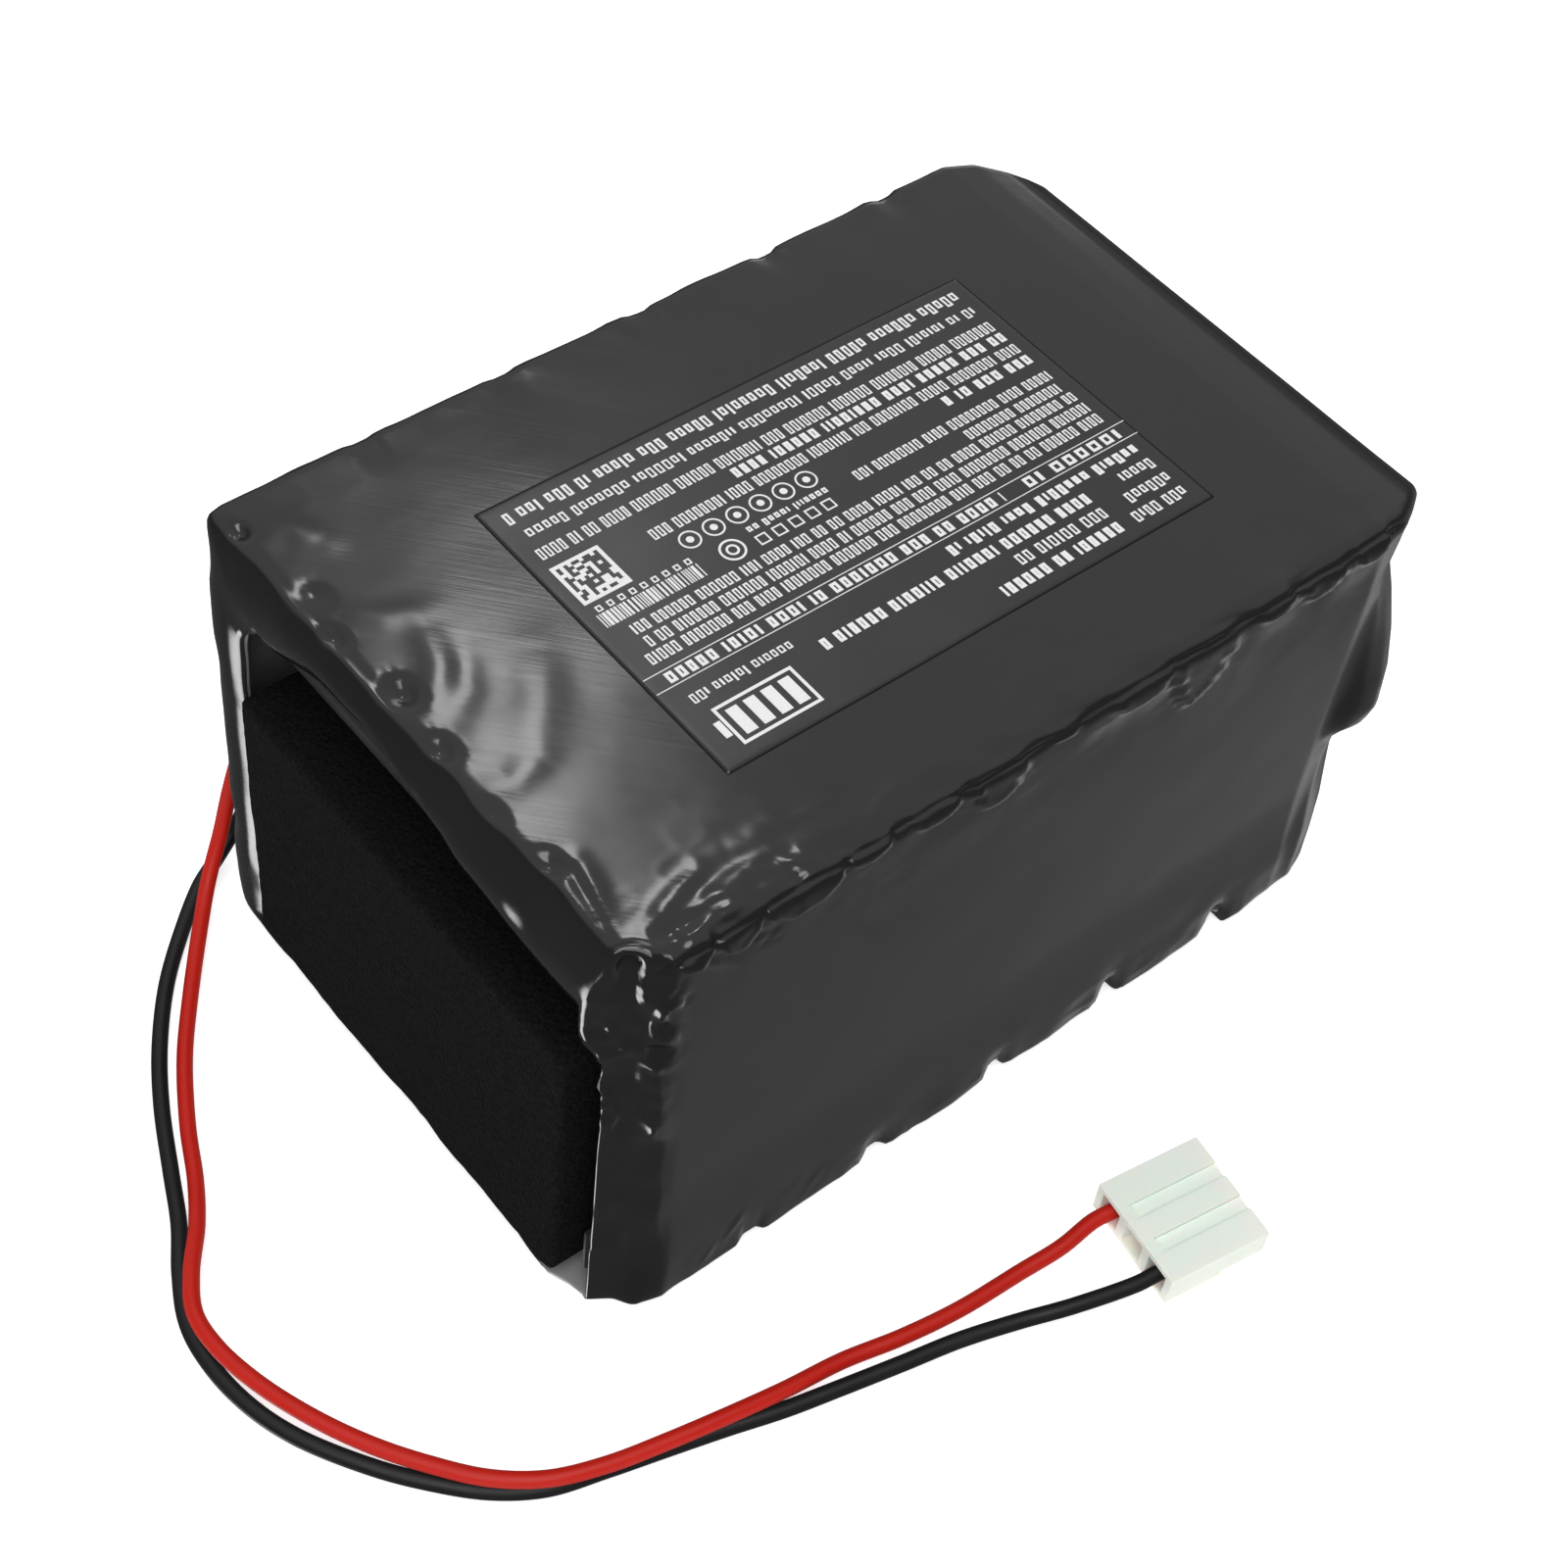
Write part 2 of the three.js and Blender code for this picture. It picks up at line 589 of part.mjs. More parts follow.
const housing = new THREE.Group();
housing.position.set(HOUSING_PLACE[0], HOUSING_PLACE[1], 0);
housing.rotation.z = HOUSING_TURN;
pack.add(housing);

function housingGeometry() {
  const end = HOUSING_LENGTH / 2;
  const side = HOUSING_WIDTH / 2;
  const removed = [];
  for (const way of [-1, 0, 1]) {
    const y = way * HOUSING_PITCH;
    removed.push(
      box(
        [-end - 1, y - CAVITY / 2, WAY_Z - CAVITY / 2],
        [-end + CAVITY_LENGTH, y + CAVITY / 2, WAY_Z + CAVITY / 2],
      ),
      box(
        [0, y - MATING_WINDOW / 2, WAY_Z - MATING_WINDOW / 2],
        [end + 1, y + MATING_WINDOW / 2, WAY_Z + MATING_WINDOW / 2],
      ),
    );
  }
  // Two grooves between three lands on the top, and the step under the mating half.
  const grooveDepth = 0.5;
  const grooves = [[1.5, 3.7], [-3.9, -1.7]];
  for (const [low, high] of grooves) {
    removed.push(box([-end + 1.6, low, HOUSING_HEIGHT - grooveDepth], [end + 1, high, HOUSING_HEIGHT + 1]));
  }
  removed.push(box([1, -side - 1, -1], [end + 1, -side + 0.8, 0.9]));
  removed.push(box([1, side - 0.8, -1], [end + 1, side + 1, 0.9]));
  return cut(box([-end, -side, 0], [end, side, HOUSING_HEIGHT]), removed);
}

add("connector_housing", housingGeometry(), NYLON_IVORY, housing);

// A crimp contact: a square spring box at the mating end and a narrower barrel behind it.
const LEAD_INSIDE = 3.6;
function contactGeometry(y) {
  const barrelStart = -HOUSING_LENGTH / 2 + LEAD_INSIDE + GAP;
  return toGeometry(
    joined([
      box([barrelStart, y - 0.9, WAY_Z - 0.9], [barrelStart + 4, y + 0.9, WAY_Z + 0.9]),
      box([barrelStart + 3.5, y - 1.2, WAY_Z - 1.2], [barrelStart + 8, y + 1.2, WAY_Z + 1.2]),
    ]),
  );
}

add("crimp_contact_red", contactGeometry(HOUSING_PITCH), TIN, housing);
add("crimp_contact_black", contactGeometry(-HOUSING_PITCH), TIN, housing);

// ---------------------------------------------------------------- leads
// A point of the housing's frame in pack coordinates.
function inPack(x, y, z) {
  const point = new THREE.Vector3(x, y, z).applyAxisAngle(new THREE.Vector3(0, 0, 1), HOUSING_TURN);
  return [point.x + HOUSING_PLACE[0], point.y + HOUSING_PLACE[1], point.z];
}

// The last stretch of a lead: straight into its way of the housing.
function intoHousing(way) {
  const y = way * HOUSING_PITCH;
  const entry = -HOUSING_LENGTH / 2;
  return [inPack(entry - 2.5, y, WAY_Z - 0.1), inPack(entry, y, WAY_Z), inPack(entry + LEAD_INSIDE, y, WAY_Z)];
}

const redRoute = [
  [LEAD_EXIT_X, 62, RED_EXIT_Z],
  [LEAD_EXIT_X, 70, RED_EXIT_Z],
  [LEAD_EXIT_X, 78, RED_EXIT_Z],
  [LEAD_EXIT_X, 82.2, RED_EXIT_Z],
  [10.1, 84.6, 30.5],
  [8.8, 86.5, 28.2],
  [6.7, 87.4, 24.8],
  [4.3, 87.3, 20.6],
  [1.8, 86.6, 15.2],
  [-0.8, 85.4, 9.4],
  [-4.7, 82.8, 4.6],
  [-9.4, 77.7, 2.6],
  [-15.8, 69.9, 1.3],
  [-21.1, 62.6, 1.15],
  [-26.2, 53.6, 1.15],
  [-29.6, 46.3, 1.2],
  [-33, 40.4, 2.1],
  [-37.3, 34.6, 3.02],
  [-39.8, 29.8, 3.13],
  [-40.1, 24.6, 3.05],
  [-38.8, 17.8, 3],
  [-36, 10, 3],
  [-32.5, 3.1, 2.95],
  [-28.5, -3, 3.07],
  [-24.1, -8.5, 3.3],
  [-18.8, -12.6, 3.37],
  [-12.2, -15.3, 3.34],
  [-5, -17.2, 3.45],
  [2.5, -18.8, 3.39],
  [10.6, -20, 2.5],
  [19.4, -20.8, 1.2],
  [27.3, -22.7, 1.15],
  [35.7, -24.1, 1.15],
  [45, -24.8, 1.3],
  [51.5, -25.5, 2],
  ...intoHousing(1),
];

const blackRoute = [
  [LEAD_EXIT_X, 62, BLACK_EXIT_Z],
  [LEAD_EXIT_X, 70, BLACK_EXIT_Z],
  [LEAD_EXIT_X, 78, BLACK_EXIT_Z],
  [LEAD_EXIT_X, 82.2, BLACK_EXIT_Z],
  [10.3, 84.7, 26.9],
  [9.6, 86.8, 24.2],
  [8.4, 87.9, 19.8],
  [6.9, 88.2, 14.4],
  [5, 88.2, 8.8],
  [2.2, 87.9, 4.4],
  [-1.2, 86.9, 2],
  [-4.6, 85.3, 1.2],
  [-10.8, 80, 1.15],
  [-17, 73.7, 1.15],
  [-22.9, 65.7, 1.15],
  [-27.3, 58, 1.15],
  [-31.3, 49.3, 1.15],
  [-34.5, 42.2, 1.15],
  [-38, 36.3, 1.15],
  [-40.8, 30.1, 1.15],
  [-41.5, 24, 1.15],
  [-40.8, 17.1, 1.15],
  [-38.6, 10.3, 1.15],
  [-33.6, 1.6, 1.15],
  [-29.3, -4, 1.15],
  [-24.4, -9.1, 1.15],
  [-19, -12.7, 1.15],
  [-12, -15, 1.15],
  [-4.8, -17.1, 1.15],
  [2.6, -19.3, 1.15],
  [9.8, -21.6, 1.15],
  [17.2, -23.5, 1.15],
  [24.9, -25.4, 1.15],
  [32.9, -27.3, 1.15],
  [40.4, -29.8, 1.3],
  [46.9, -32.5, 2],
  ...intoHousing(-1),
];

const LEAD_STEPS = 58;
add("lead_red", tube(redRoute, LEAD_DIAMETER, 8, LEAD_STEPS), LEAD_RED);
add("lead_black", tube(blackRoute, LEAD_DIAMETER, 8, LEAD_STEPS), LEAD_BLACK);

export default root;
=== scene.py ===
import itertools
import math
import random

import bpy
import numpy as np
from mathutils import Matrix, Vector


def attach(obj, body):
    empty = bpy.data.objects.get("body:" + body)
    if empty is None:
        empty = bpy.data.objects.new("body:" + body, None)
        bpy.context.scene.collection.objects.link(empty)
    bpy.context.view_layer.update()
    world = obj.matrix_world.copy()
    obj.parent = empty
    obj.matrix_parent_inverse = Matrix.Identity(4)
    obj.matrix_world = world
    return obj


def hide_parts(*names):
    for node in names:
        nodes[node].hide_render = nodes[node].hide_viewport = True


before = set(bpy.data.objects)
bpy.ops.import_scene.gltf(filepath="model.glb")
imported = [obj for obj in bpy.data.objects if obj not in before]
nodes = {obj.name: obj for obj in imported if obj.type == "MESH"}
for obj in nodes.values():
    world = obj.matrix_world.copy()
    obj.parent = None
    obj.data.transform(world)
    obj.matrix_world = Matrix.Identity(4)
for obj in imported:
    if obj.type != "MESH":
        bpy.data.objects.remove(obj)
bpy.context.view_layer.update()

# Points are written in millimetres from the pack's corner: x along the pack from its open end,
# y from the front side, z up.
MM = 0.001
CORNER_SHIFT = np.array([62.0, 41.0, 0.0])
WIDTH = 82.0
HEIGHT = 72.1
FILM = 0.45


def in_frame(points):
    """Points of the pack, in mm, as points of the shared frame, in metres."""
    return (np.asarray(points, float) - CORNER_SHIFT) * MM


# Camera.
FOCAL_LENGTH = 64.43
CAMERA_PLACE = (-0.17080, -0.16468, 0.30738)
RIGHT = (0.77112, -0.63061, 0.08775)
UP = (0.44783, 0.63518, 0.62928)
FORWARD = (0.45257, 0.44596, -0.77221)
camera_data = bpy.data.cameras.new("camera")
camera_data.sensor_width = 36.0
camera_data.lens = FOCAL_LENGTH
camera_data.clip_start = 0.01
camera = bpy.data.objects.new("camera", camera_data)
bpy.context.scene.collection.objects.link(camera)
turn = Matrix((RIGHT, UP, [-f for f in FORWARD])).transposed()
camera.matrix_world = Matrix.Translation(CAMERA_PLACE) @ turn.to_4x4()
bpy.context.scene.camera = camera


# Materials.
class Shader:
    """A Principled material, with short ways to add procedural detail to it."""

    def __init__(self, name, colour, roughness, **sockets):
        self.material = bpy.data.materials.new(name)
        self.material.use_nodes = True
        self.tree = self.material.node_tree
        self.bsdf = self.tree.nodes["Principled BSDF"]
        self.colour(colour)
        self.roughness(roughness)
        for socket, value in sockets.items():
            self.join(value, self.bsdf.inputs[socket.replace("_", " ")])
        self.place = self.add("ShaderNodeTexCoord").outputs["Object"]

    def add(self, kind, **inputs):
        node = self.tree.nodes.new(kind)
        for name, value in inputs.items():
            self.join(value, node.inputs[name.replace("_", " ")])
        return node

    def join(self, value, socket):
        if isinstance(value, bpy.types.NodeSocket):
            self.tree.links.new(value, socket)
        else:
            socket.default_value = (*value, 1) if socket.type == "RGBA" else value

    def stretched(self, scale, place=None):
        """The place on the object, or the one given, squeezed by the scale."""
        return self.add("ShaderNodeMapping", Vector=place or self.place, Scale=scale).outputs["Vector"]

    def brushed(self, scale, angle):
        """The place on the object, turned about z and then squeezed."""
        turned = self.add("ShaderNodeMapping", Vector=self.place, Rotation=(0, 0, angle))
        return self.stretched(scale, turned.outputs["Vector"])

    def noise(self, scale, detail=3.0, roughness=0.5, place=None):
        sockets = {"Scale": scale, "Detail": detail, "Roughness": roughness}
        return self.add("ShaderNodeTexNoise", Vector=place or self.place, **sockets).outputs["Fac"]

    def graded(self, value, low, high, low_to=0.0, high_to=1.0):
        sockets = {"From Min": low, "From Max": high, "To Min": low_to, "To Max": high_to}
        return self.add("ShaderNodeMapRange", Value=value, **sockets).outputs["Result"]

    def maths(self, operation, a, b=0.0):
        node = self.tree.nodes.new("ShaderNodeMath")
        node.operation = operation
        self.join(a, node.inputs[0])
        self.join(b, node.inputs[1])
        return node.outputs[0]

    def blended(self, share, first, second):
        """A colour between two colours."""
        node = self.tree.nodes.new("ShaderNodeMix")
        node.data_type = "RGBA"
        for number, value in ((0, share), (6, first), (7, second)):
            self.join(value, node.inputs[number])
        return node.outputs[2]

    def colour(self, value):
        self.join(value, self.bsdf.inputs["Base Color"])

    def roughness(self, value):
        self.join(value, self.bsdf.inputs["Roughness"])

    def bumps(self, *layers):
        """Each layer is (height, how far it stands out in metres)."""
        normal = None
        for height, distance in layers:
            node = self.add("ShaderNodeBump", Height=height, Distance=distance)
            if normal:
                self.join(normal, node.inputs["Normal"])
            normal = node.outputs["Normal"]
        self.join(normal, self.bsdf.inputs["Normal"])


# The direction of the fine streaks in the sleeve's film.
BRUSHED = math.radians(48)


def film_shader():
    s = Shader("sleeve_film", (0.0125, 0.0127, 0.013), 0.16)
    streaks = s.noise(1.0, 4, 0.62, place=s.brushed((70, 2400, 1600), BRUSHED))
    scratches = s.noise(1.0, 2, 0.5, place=s.brushed((30, 1100, 900), BRUSHED))
    clouds = s.noise(60, 4, 0.55)
    orange_peel = s.noise(420, 2, 0.5)
    s.colour(s.blended(clouds, (0.0105, 0.0107, 0.011), (0.0145, 0.0147, 0.0151)))
    s.roughness(s.graded(s.maths("ADD", clouds, streaks), 0.6, 1.4, 0.1, 0.17))
    s.bumps((orange_peel, 0.000003), (scratches, 0.000004), (streaks, 0.000008))
    return s.material


def painted_light_inside_shader():
    # The film's inner face is painted light grey, far lighter than the black film: painted light, standing in
    # for light it reflects and lets through.
    s = Shader("sleeve_inside_painted_light", (0.3, 0.3, 0.3), 0.4)
    haze_and_glow = s.noise(50, 3)
    s.colour(s.blended(haze_and_glow, (0.26, 0.26, 0.26), (0.34, 0.34, 0.34)))
    s.roughness(s.graded(haze_and_glow, 0.3, 0.7, 0.28, 0.42))
    s.bumps((s.noise(500, 2), 0.00001))
    return s.material


def label_shader():
    s = Shader("label_film", (0.014, 0.0142, 0.0146), 0.3)
    grain = s.noise(1.0, 3, 0.6, place=s.stretched((300, 2600, 2600)))
    clouds = s.noise(80, 3)
    s.colour(s.blended(clouds, (0.0125, 0.0127, 0.0131), (0.0155, 0.0157, 0.0161)))
    s.roughness(s.graded(clouds, 0.3, 0.7, 0.26, 0.34))
    s.bumps((grain, 0.00001))
    return s.material


def print_shader():
    s = Shader("label_print", (0.84, 0.84, 0.84), 0.5)
    speckle = s.noise(2600, 2)
    s.colour(s.blended(speckle, (0.78, 0.78, 0.78), (0.9, 0.9, 0.9)))
    s.bumps((speckle, 0.000006))
    return s.material


def foam_shader():
    s = Shader("foam", (0.006, 0.006, 0.0063), 0.95, Specular_IOR_Level=0.12)
    pores = s.add("ShaderNodeTexVoronoi", Vector=s.place, Scale=1500.0).outputs[0]
    fine = s.noise(2200, 4, 0.7)
    patches = s.noise(90, 4, 0.6)
    grain = s.graded(fine, 0.35, 0.68)
    s.colour(s.blended(grain, (0.0024, 0.0024, 0.0026), (0.0105, 0.0105, 0.011)))
    s.roughness(s.graded(patches, 0.3, 0.7, 0.9, 1.0))
    s.bumps((pores, 0.00025), (fine, 0.0001))
    return s.material


def lead_shader(name, colour, second):
    s = Shader(name, colour, 0.45, Specular_IOR_Level=0.28)
    mottle = s.noise(120, 3)
    drag = s.noise(900, 3, 0.6)
    s.colour(s.blended(mottle, colour, second))
    s.roughness(s.graded(mottle, 0.3, 0.7, 0.4, 0.52))
    s.bumps((drag, 0.00002), (s.noise(160, 2), 0.00005))
    return s.material


CONNECTOR_CENTRE = (66.15, -31.8)
CONNECTOR_TURN = math.radians(-8.7)
# The housing's mating windows, where shade is painted, in metres: their pitch, the height of their middle and
# half their width.
WINDOW_PITCH = 0.005
WINDOW_HEIGHT = 0.0026
WINDOW_HALF = 0.00176


def housing_shader():
    s = Shader("housing_nylon", (0.75, 0.78, 0.68), 0.42, Subsurface_Weight=0.3, Subsurface_Scale=0.002)
    place = s.tree.nodes.new("ShaderNodeMapping")
    place.vector_type = "TEXTURE"
    s.join(s.place, place.inputs["Vector"])
    place.inputs["Location"].default_value = in_frame((*CONNECTOR_CENTRE, 0))
    place.inputs["Rotation"].default_value = (0, 0, CONNECTOR_TURN)
    split = s.add("ShaderNodeSeparateXYZ", Vector=place.outputs["Vector"])
    shifted = s.maths("ADD", split.outputs["Y"], WINDOW_PITCH / 2)
    in_bay = s.maths("FLOORED_MODULO", shifted, WINDOW_PITCH)
    across = s.maths("ABSOLUTE", s.maths("SUBTRACT", in_bay, WINDOW_PITCH / 2))
    upright = s.maths("ABSOLUTE", s.maths("SUBTRACT", split.outputs["Z"], WINDOW_HEIGHT))
    between = s.maths("LESS_THAN", across, WINDOW_HALF)
    window_shade = s.maths("MULTIPLY", between, s.maths("LESS_THAN", upright, WINDOW_HALF))
    cloud = s.noise(260, 3)
    outer = s.blended(cloud, (0.91, 0.97, 0.86), (0.94, 0.99, 0.90))
    # The windows are painted a darker yellow-green: painted shade of the hollows behind them.
    s.colour(s.blended(window_shade, outer, (0.60, 0.74, 0.30)))
    s.roughness(s.graded(cloud, 0.3, 0.7, 0.38, 0.48))
    s.bumps((s.noise(1800, 3), 0.000012), (s.noise(220, 2), 0.00003))
    return s.material


def plain_shader(name, colour, second, roughness, scale, bump, metallic=0.0, stretch=None):
    """A moulded, drawn or rolled material whose colour and roughness wander a little."""
    s = Shader(name, colour, roughness, Metallic=metallic)
    place = s.stretched(stretch) if stretch else None
    wander = s.noise(scale, 4, 0.6, place=place)
    s.colour(s.blended(s.graded(wander, 0.3, 0.7), colour, second))
    s.roughness(s.graded(wander, 0.3, 0.7, roughness * 0.85, min(1.0, roughness * 1.15)))
    s.bumps((s.noise(scale * 6, 3, 0.6, place=place), bump), (wander, bump))
    return s.material


film = film_shader()
film_inside_painted_light = painted_light_inside_shader()
label_film = label_shader()
label_print = print_shader()
foam = foam_shader()
red_insulation = lead_shader("red_insulation", (0.53, 0.010, 0.004), (0.58, 0.016, 0.007))
black_insulation = lead_shader("black_insulation", (0.009, 0.009, 0.010), (0.014, 0.014, 0.015))
housing_nylon = housing_shader()
tinned = plain_shader("tinned_contact", (0.62, 0.62, 0.60), (0.5, 0.5, 0.48), 0.28, 900, 0.00001, 1.0)
# How the names of the carried-over solids start, then their material: slot, two colours, roughness, size of
# the wandering, bump, and for some metallic and stretch. The first start that fits counts.
FINISHES = (
    ("cell_01", "cell_tape", (0.012, 0.012, 0.013), (0.02, 0.02, 0.022), 0.5, 240, 2e-5),
    ("cell_holder", "holder_plastic", (0.014, 0.014, 0.015), (0.024, 0.024, 0.025), 0.5, 500, 3e-5),
    ("cell_", "cell_wrap", (0.03, 0.22, 0.17), (0.025, 0.18, 0.14), 0.3, 220, 2e-5),
    ("nickel", "nickel", (0.55, 0.53, 0.49), (0.66, 0.64, 0.6), 0.3, 1.0, 1e-5, 1.0, (200, 1400, 1400)),
    ("insulation", "fibre_board", (0.32, 0.38, 0.3), (0.26, 0.32, 0.25), 0.6, 1.0, 2e-5, 0.0, (900, 900, 300)),
    ("protection", "circuit_board", (0.005, 0.09, 0.03), (0.008, 0.13, 0.045), 0.3, 300, 2e-5),
    ("switching", "chip", (0.012, 0.012, 0.013), (0.02, 0.02, 0.021), 0.45, 900, 1e-5),
    ("sense_plug", "plug_nylon", (0.74, 0.72, 0.64), (0.66, 0.64, 0.56), 0.4, 400, 2e-5),
    ("sense_wire", "sense_insulation", (0.6, 0.6, 0.58), (0.5, 0.5, 0.48), 0.4, 400, 2e-5),
)
CAD_FINISHES = [(start, plain_shader(*finish)) for start, *finish in FINISHES]


def wear(piece, material):
    piece.data.materials.clear()
    piece.data.materials.append(material)


for node_name, node in nodes.items():
    for start, finish in CAD_FINISHES:
        if node_name.startswith(start):
            wear(node, finish)
            break


def soften(piece, width):
    """Rounds a carried-over solid's edges."""
    flat = piece.modifiers.new("flat", "DECIMATE")
    flat.decimate_type = "DISSOLVE"
    flat.angle_limit = math.radians(1)
    edge = piece.modifiers.new("edge", "BEVEL")
    edge.width = width
    edge.segments = 2
    edge.limit_method = "ANGLE"
    edge.angle_limit = math.radians(40)


# Leads and connector.
LEAD_DIAMETER = 2.1
# The crimp contacts stand this far to each side of the housing's middle.
WAY_OFFSET = 5
HOUSING_EDGE = 0.00016
CONTACT_EDGE = 0.00008


def in_pack(x, y, z):
    """A point of the connector, from its centre and along its own axes, as a point of the pack."""
    c, s = math.cos(CONNECTOR_TURN), math.sin(CONNECTOR_TURN)
    return (CONNECTOR_CENTRE[0] + c * x - s * y, CONNECTOR_CENTRE[1] + s * x + c * y, z)


def into_housing(way):
    y = WAY_OFFSET * way
    return [in_pack(-10.1, y, 2.5), in_pack(-7.6, y, 2.6), in_pack(-4.0, y, 2.6)]


RED_ROUTE = [
    (10.4, 62, 31), (10.4, 70, 31), (10.4, 78, 31), (10.4, 82.2, 31), (10.1, 84.6, 30.5),
    (8.8, 86.5, 28.2), (6.7, 87.4, 24.8), (4.3, 87.3, 20.6), (1.8, 86.6, 15.2), (-0.8, 85.4, 9.4),
    (-4.7, 82.8, 4.6), (-9.4, 77.7, 2.6), (-15.8, 69.9, 1.3), (-21.1, 62.6, 1.15), (-26.2, 53.6, 1.15),
    (-29.6, 46.3, 1.2), (-33, 40.4, 2.1), (-37.3, 34.6, 3.02), (-39.8, 29.8, 3.13), (-40.1, 24.6, 3.05),
    (-38.8, 17.8, 3), (-36, 10, 3), (-32.5, 3.1, 2.95), (-28.5, -3, 3.07), (-24.1, -8.5, 3.3),
    (-18.8, -12.6, 3.37), (-12.2, -15.3, 3.34), (-5, -17.2, 3.45), (2.5, -18.8, 3.39), (10.6, -20, 2.5),
    (19.4, -20.8, 1.2), (27.3, -22.7, 1.15), (35.7, -24.1, 1.15), (45, -24.8, 1.3), (51.5, -25.5, 2),
] + into_housing(1)
BLACK_ROUTE = [
    (10.4, 62, 27.6), (10.4, 70, 27.6), (10.4, 78, 27.6), (10.4, 82.2, 27.6), (10.3, 84.7, 26.9),
    (9.6, 86.8, 24.2), (8.4, 87.9, 19.8), (6.9, 88.2, 14.4), (5, 88.2, 8.8), (2.2, 87.9, 4.4),
    (-1.2, 86.9, 2), (-4.6, 85.3, 1.2), (-10.8, 80, 1.15), (-17, 73.7, 1.15), (-22.9, 65.7, 1.15),
    (-27.3, 58, 1.15), (-31.3, 49.3, 1.15), (-34.5, 42.2, 1.15), (-38, 36.3, 1.15), (-40.8, 30.1, 1.15),
    (-41.5, 24, 1.15), (-40.8, 17.1, 1.15), (-38.6, 10.3, 1.15), (-33.6, 1.6, 1.15), (-29.3, -4, 1.15),
    (-24.4, -9.1, 1.15), (-19, -12.7, 1.15), (-12, -15, 1.15), (-4.8, -17.1, 1.15), (2.6, -19.3, 1.15),
    (9.8, -21.6, 1.15), (17.2, -23.5, 1.15), (24.9, -25.4, 1.15), (32.9, -27.3, 1.15), (40.4, -29.8, 1.3),
    (46.9, -32.5, 2),
] + into_housing(-1)


def smooth_route(points, step=1.0):
    """A centripetal curve through the points, as points about a step apart."""
    points = [np.array(p, float) for p in points]
    ends = [2 * points[0] - points[1]] + points + [2 * points[-1] - points[-2]]
    line = []
    for p0, p1, p2, p3 in zip(ends, ends[1:], ends[2:], ends[3:]):
        t1 = math.sqrt(np.linalg.norm(p1 - p0))
        t2 = t1 + math.sqrt(np.linalg.norm(p2 - p1))
        t3 = t2 + math.sqrt(np.linalg.norm(p3 - p2))
        count = max(2, round(np.linalg.norm(p2 - p1) / step))
        for k in range(count):
            t = t1 + (t2 - t1) * k / count
            a1 = p0 * (t1 - t) / t1 + p1 * t / t1
            a2 = p1 * (t2 - t) / (t2 - t1) + p2 * (t - t1) / (t2 - t1)
            a3 = p2 * (t3 - t) / (t3 - t2) + p3 * (t - t2) / (t3 - t2)
            b1 = a1 * (t2 - t) / t2 + a2 * t / t2
            b2 = a2 * (t3 - t) / (t3 - t1) + a3 * (t - t1) / (t3 - t1)
            line.append(b1 * (t2 - t) / (t2 - t1) + b2 * (t - t1) / (t2 - t1))
    line.append(points[-1])
    return in_frame(line)


def lead(name, route, material):
    line = smooth_route(route)
    curve = bpy.data.curves.new(name, "CURVE")
    curve.dimensions = "3D"
    curve.bevel_depth = LEAD_DIAMETER / 2 * MM
    curve.bevel_resolution = 5
    curve.use_fill_caps = True
    spline = curve.splines.new("POLY")
    spline.points.add(len(line) - 1)
    for point, place in zip(spline.points, line):
        point.co = (*place, 1)
    spline.use_smooth = True
    piece = bpy.data.objects.new(name, curve)
    bpy.context.scene.collection.objects.link(piece)
    wear(piece, material)
    piece.visible_glossy = False
    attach(piece, "root")
    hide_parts(name.replace("_cable", ""))


lead("lead_red_cable", RED_ROUTE, red_insulation)
lead("lead_black_cable", BLACK_ROUTE, black_insulation)

wear(nodes["connector_housing"], housing_nylon)
soften(nodes["connector_housing"], HOUSING_EDGE)
nodes["connector_housing"].visible_glossy = False
for contact_name in ("crimp_contact_red", "crimp_contact_black"):
    wear(nodes[contact_name], tinned)
    soften(nodes[contact_name], CONTACT_EDGE)


# Shapes by formula.
LATTICE_SIDE = 32
LATTICE = np.random.default_rng(7).uniform(-1, 1, [LATTICE_SIDE] * 3)


def noise(x, y, z, size, seed=0):
    """Smooth noise from -1 to 1, with lumps of about the given size in mm."""
    total = 0.0
    lows, shares = [], []
    for value, skew in ((x, 1.0), (y, 1.7), (z, 2.3)):
        q = np.asarray(value, float) / size + 11.37 * seed * skew
        low = np.floor(q).astype(int)
        f = q - low
        lows.append(low)
        shares.append(f * f * f * (f * (6 * f - 15) + 10))
    for bits in np.ndindex(2, 2, 2):
        weight = 1.0
        for share, bit in zip(shares, bits):
            weight = weight * (share if bit else 1 - share)
        total = total + weight * LATTICE[tuple((low + bit) % LATTICE_SIDE for low, bit in zip(lows, bits))]
    return total


def crease(x, y, z, size, seed=0):
    """Noise with sharp ridges, from -1 to 1, as in crumpled film."""
    return 1 - 2 * np.abs(noise(x, y, z, size, seed)) ** 0.8


def bump(value, centre, width):
    """A smooth hump of height 1 about the centre."""
    return np.exp(-(((value - centre) / width) ** 2))


def step(value, start, end):
    """A smooth rise from 0 at start to 1 at end."""
    f = np.clip((value - start) / (end - start), 0, 1)
    return f * f * (3 - 2 * f)


RIPPLE_PITCH = 0.95


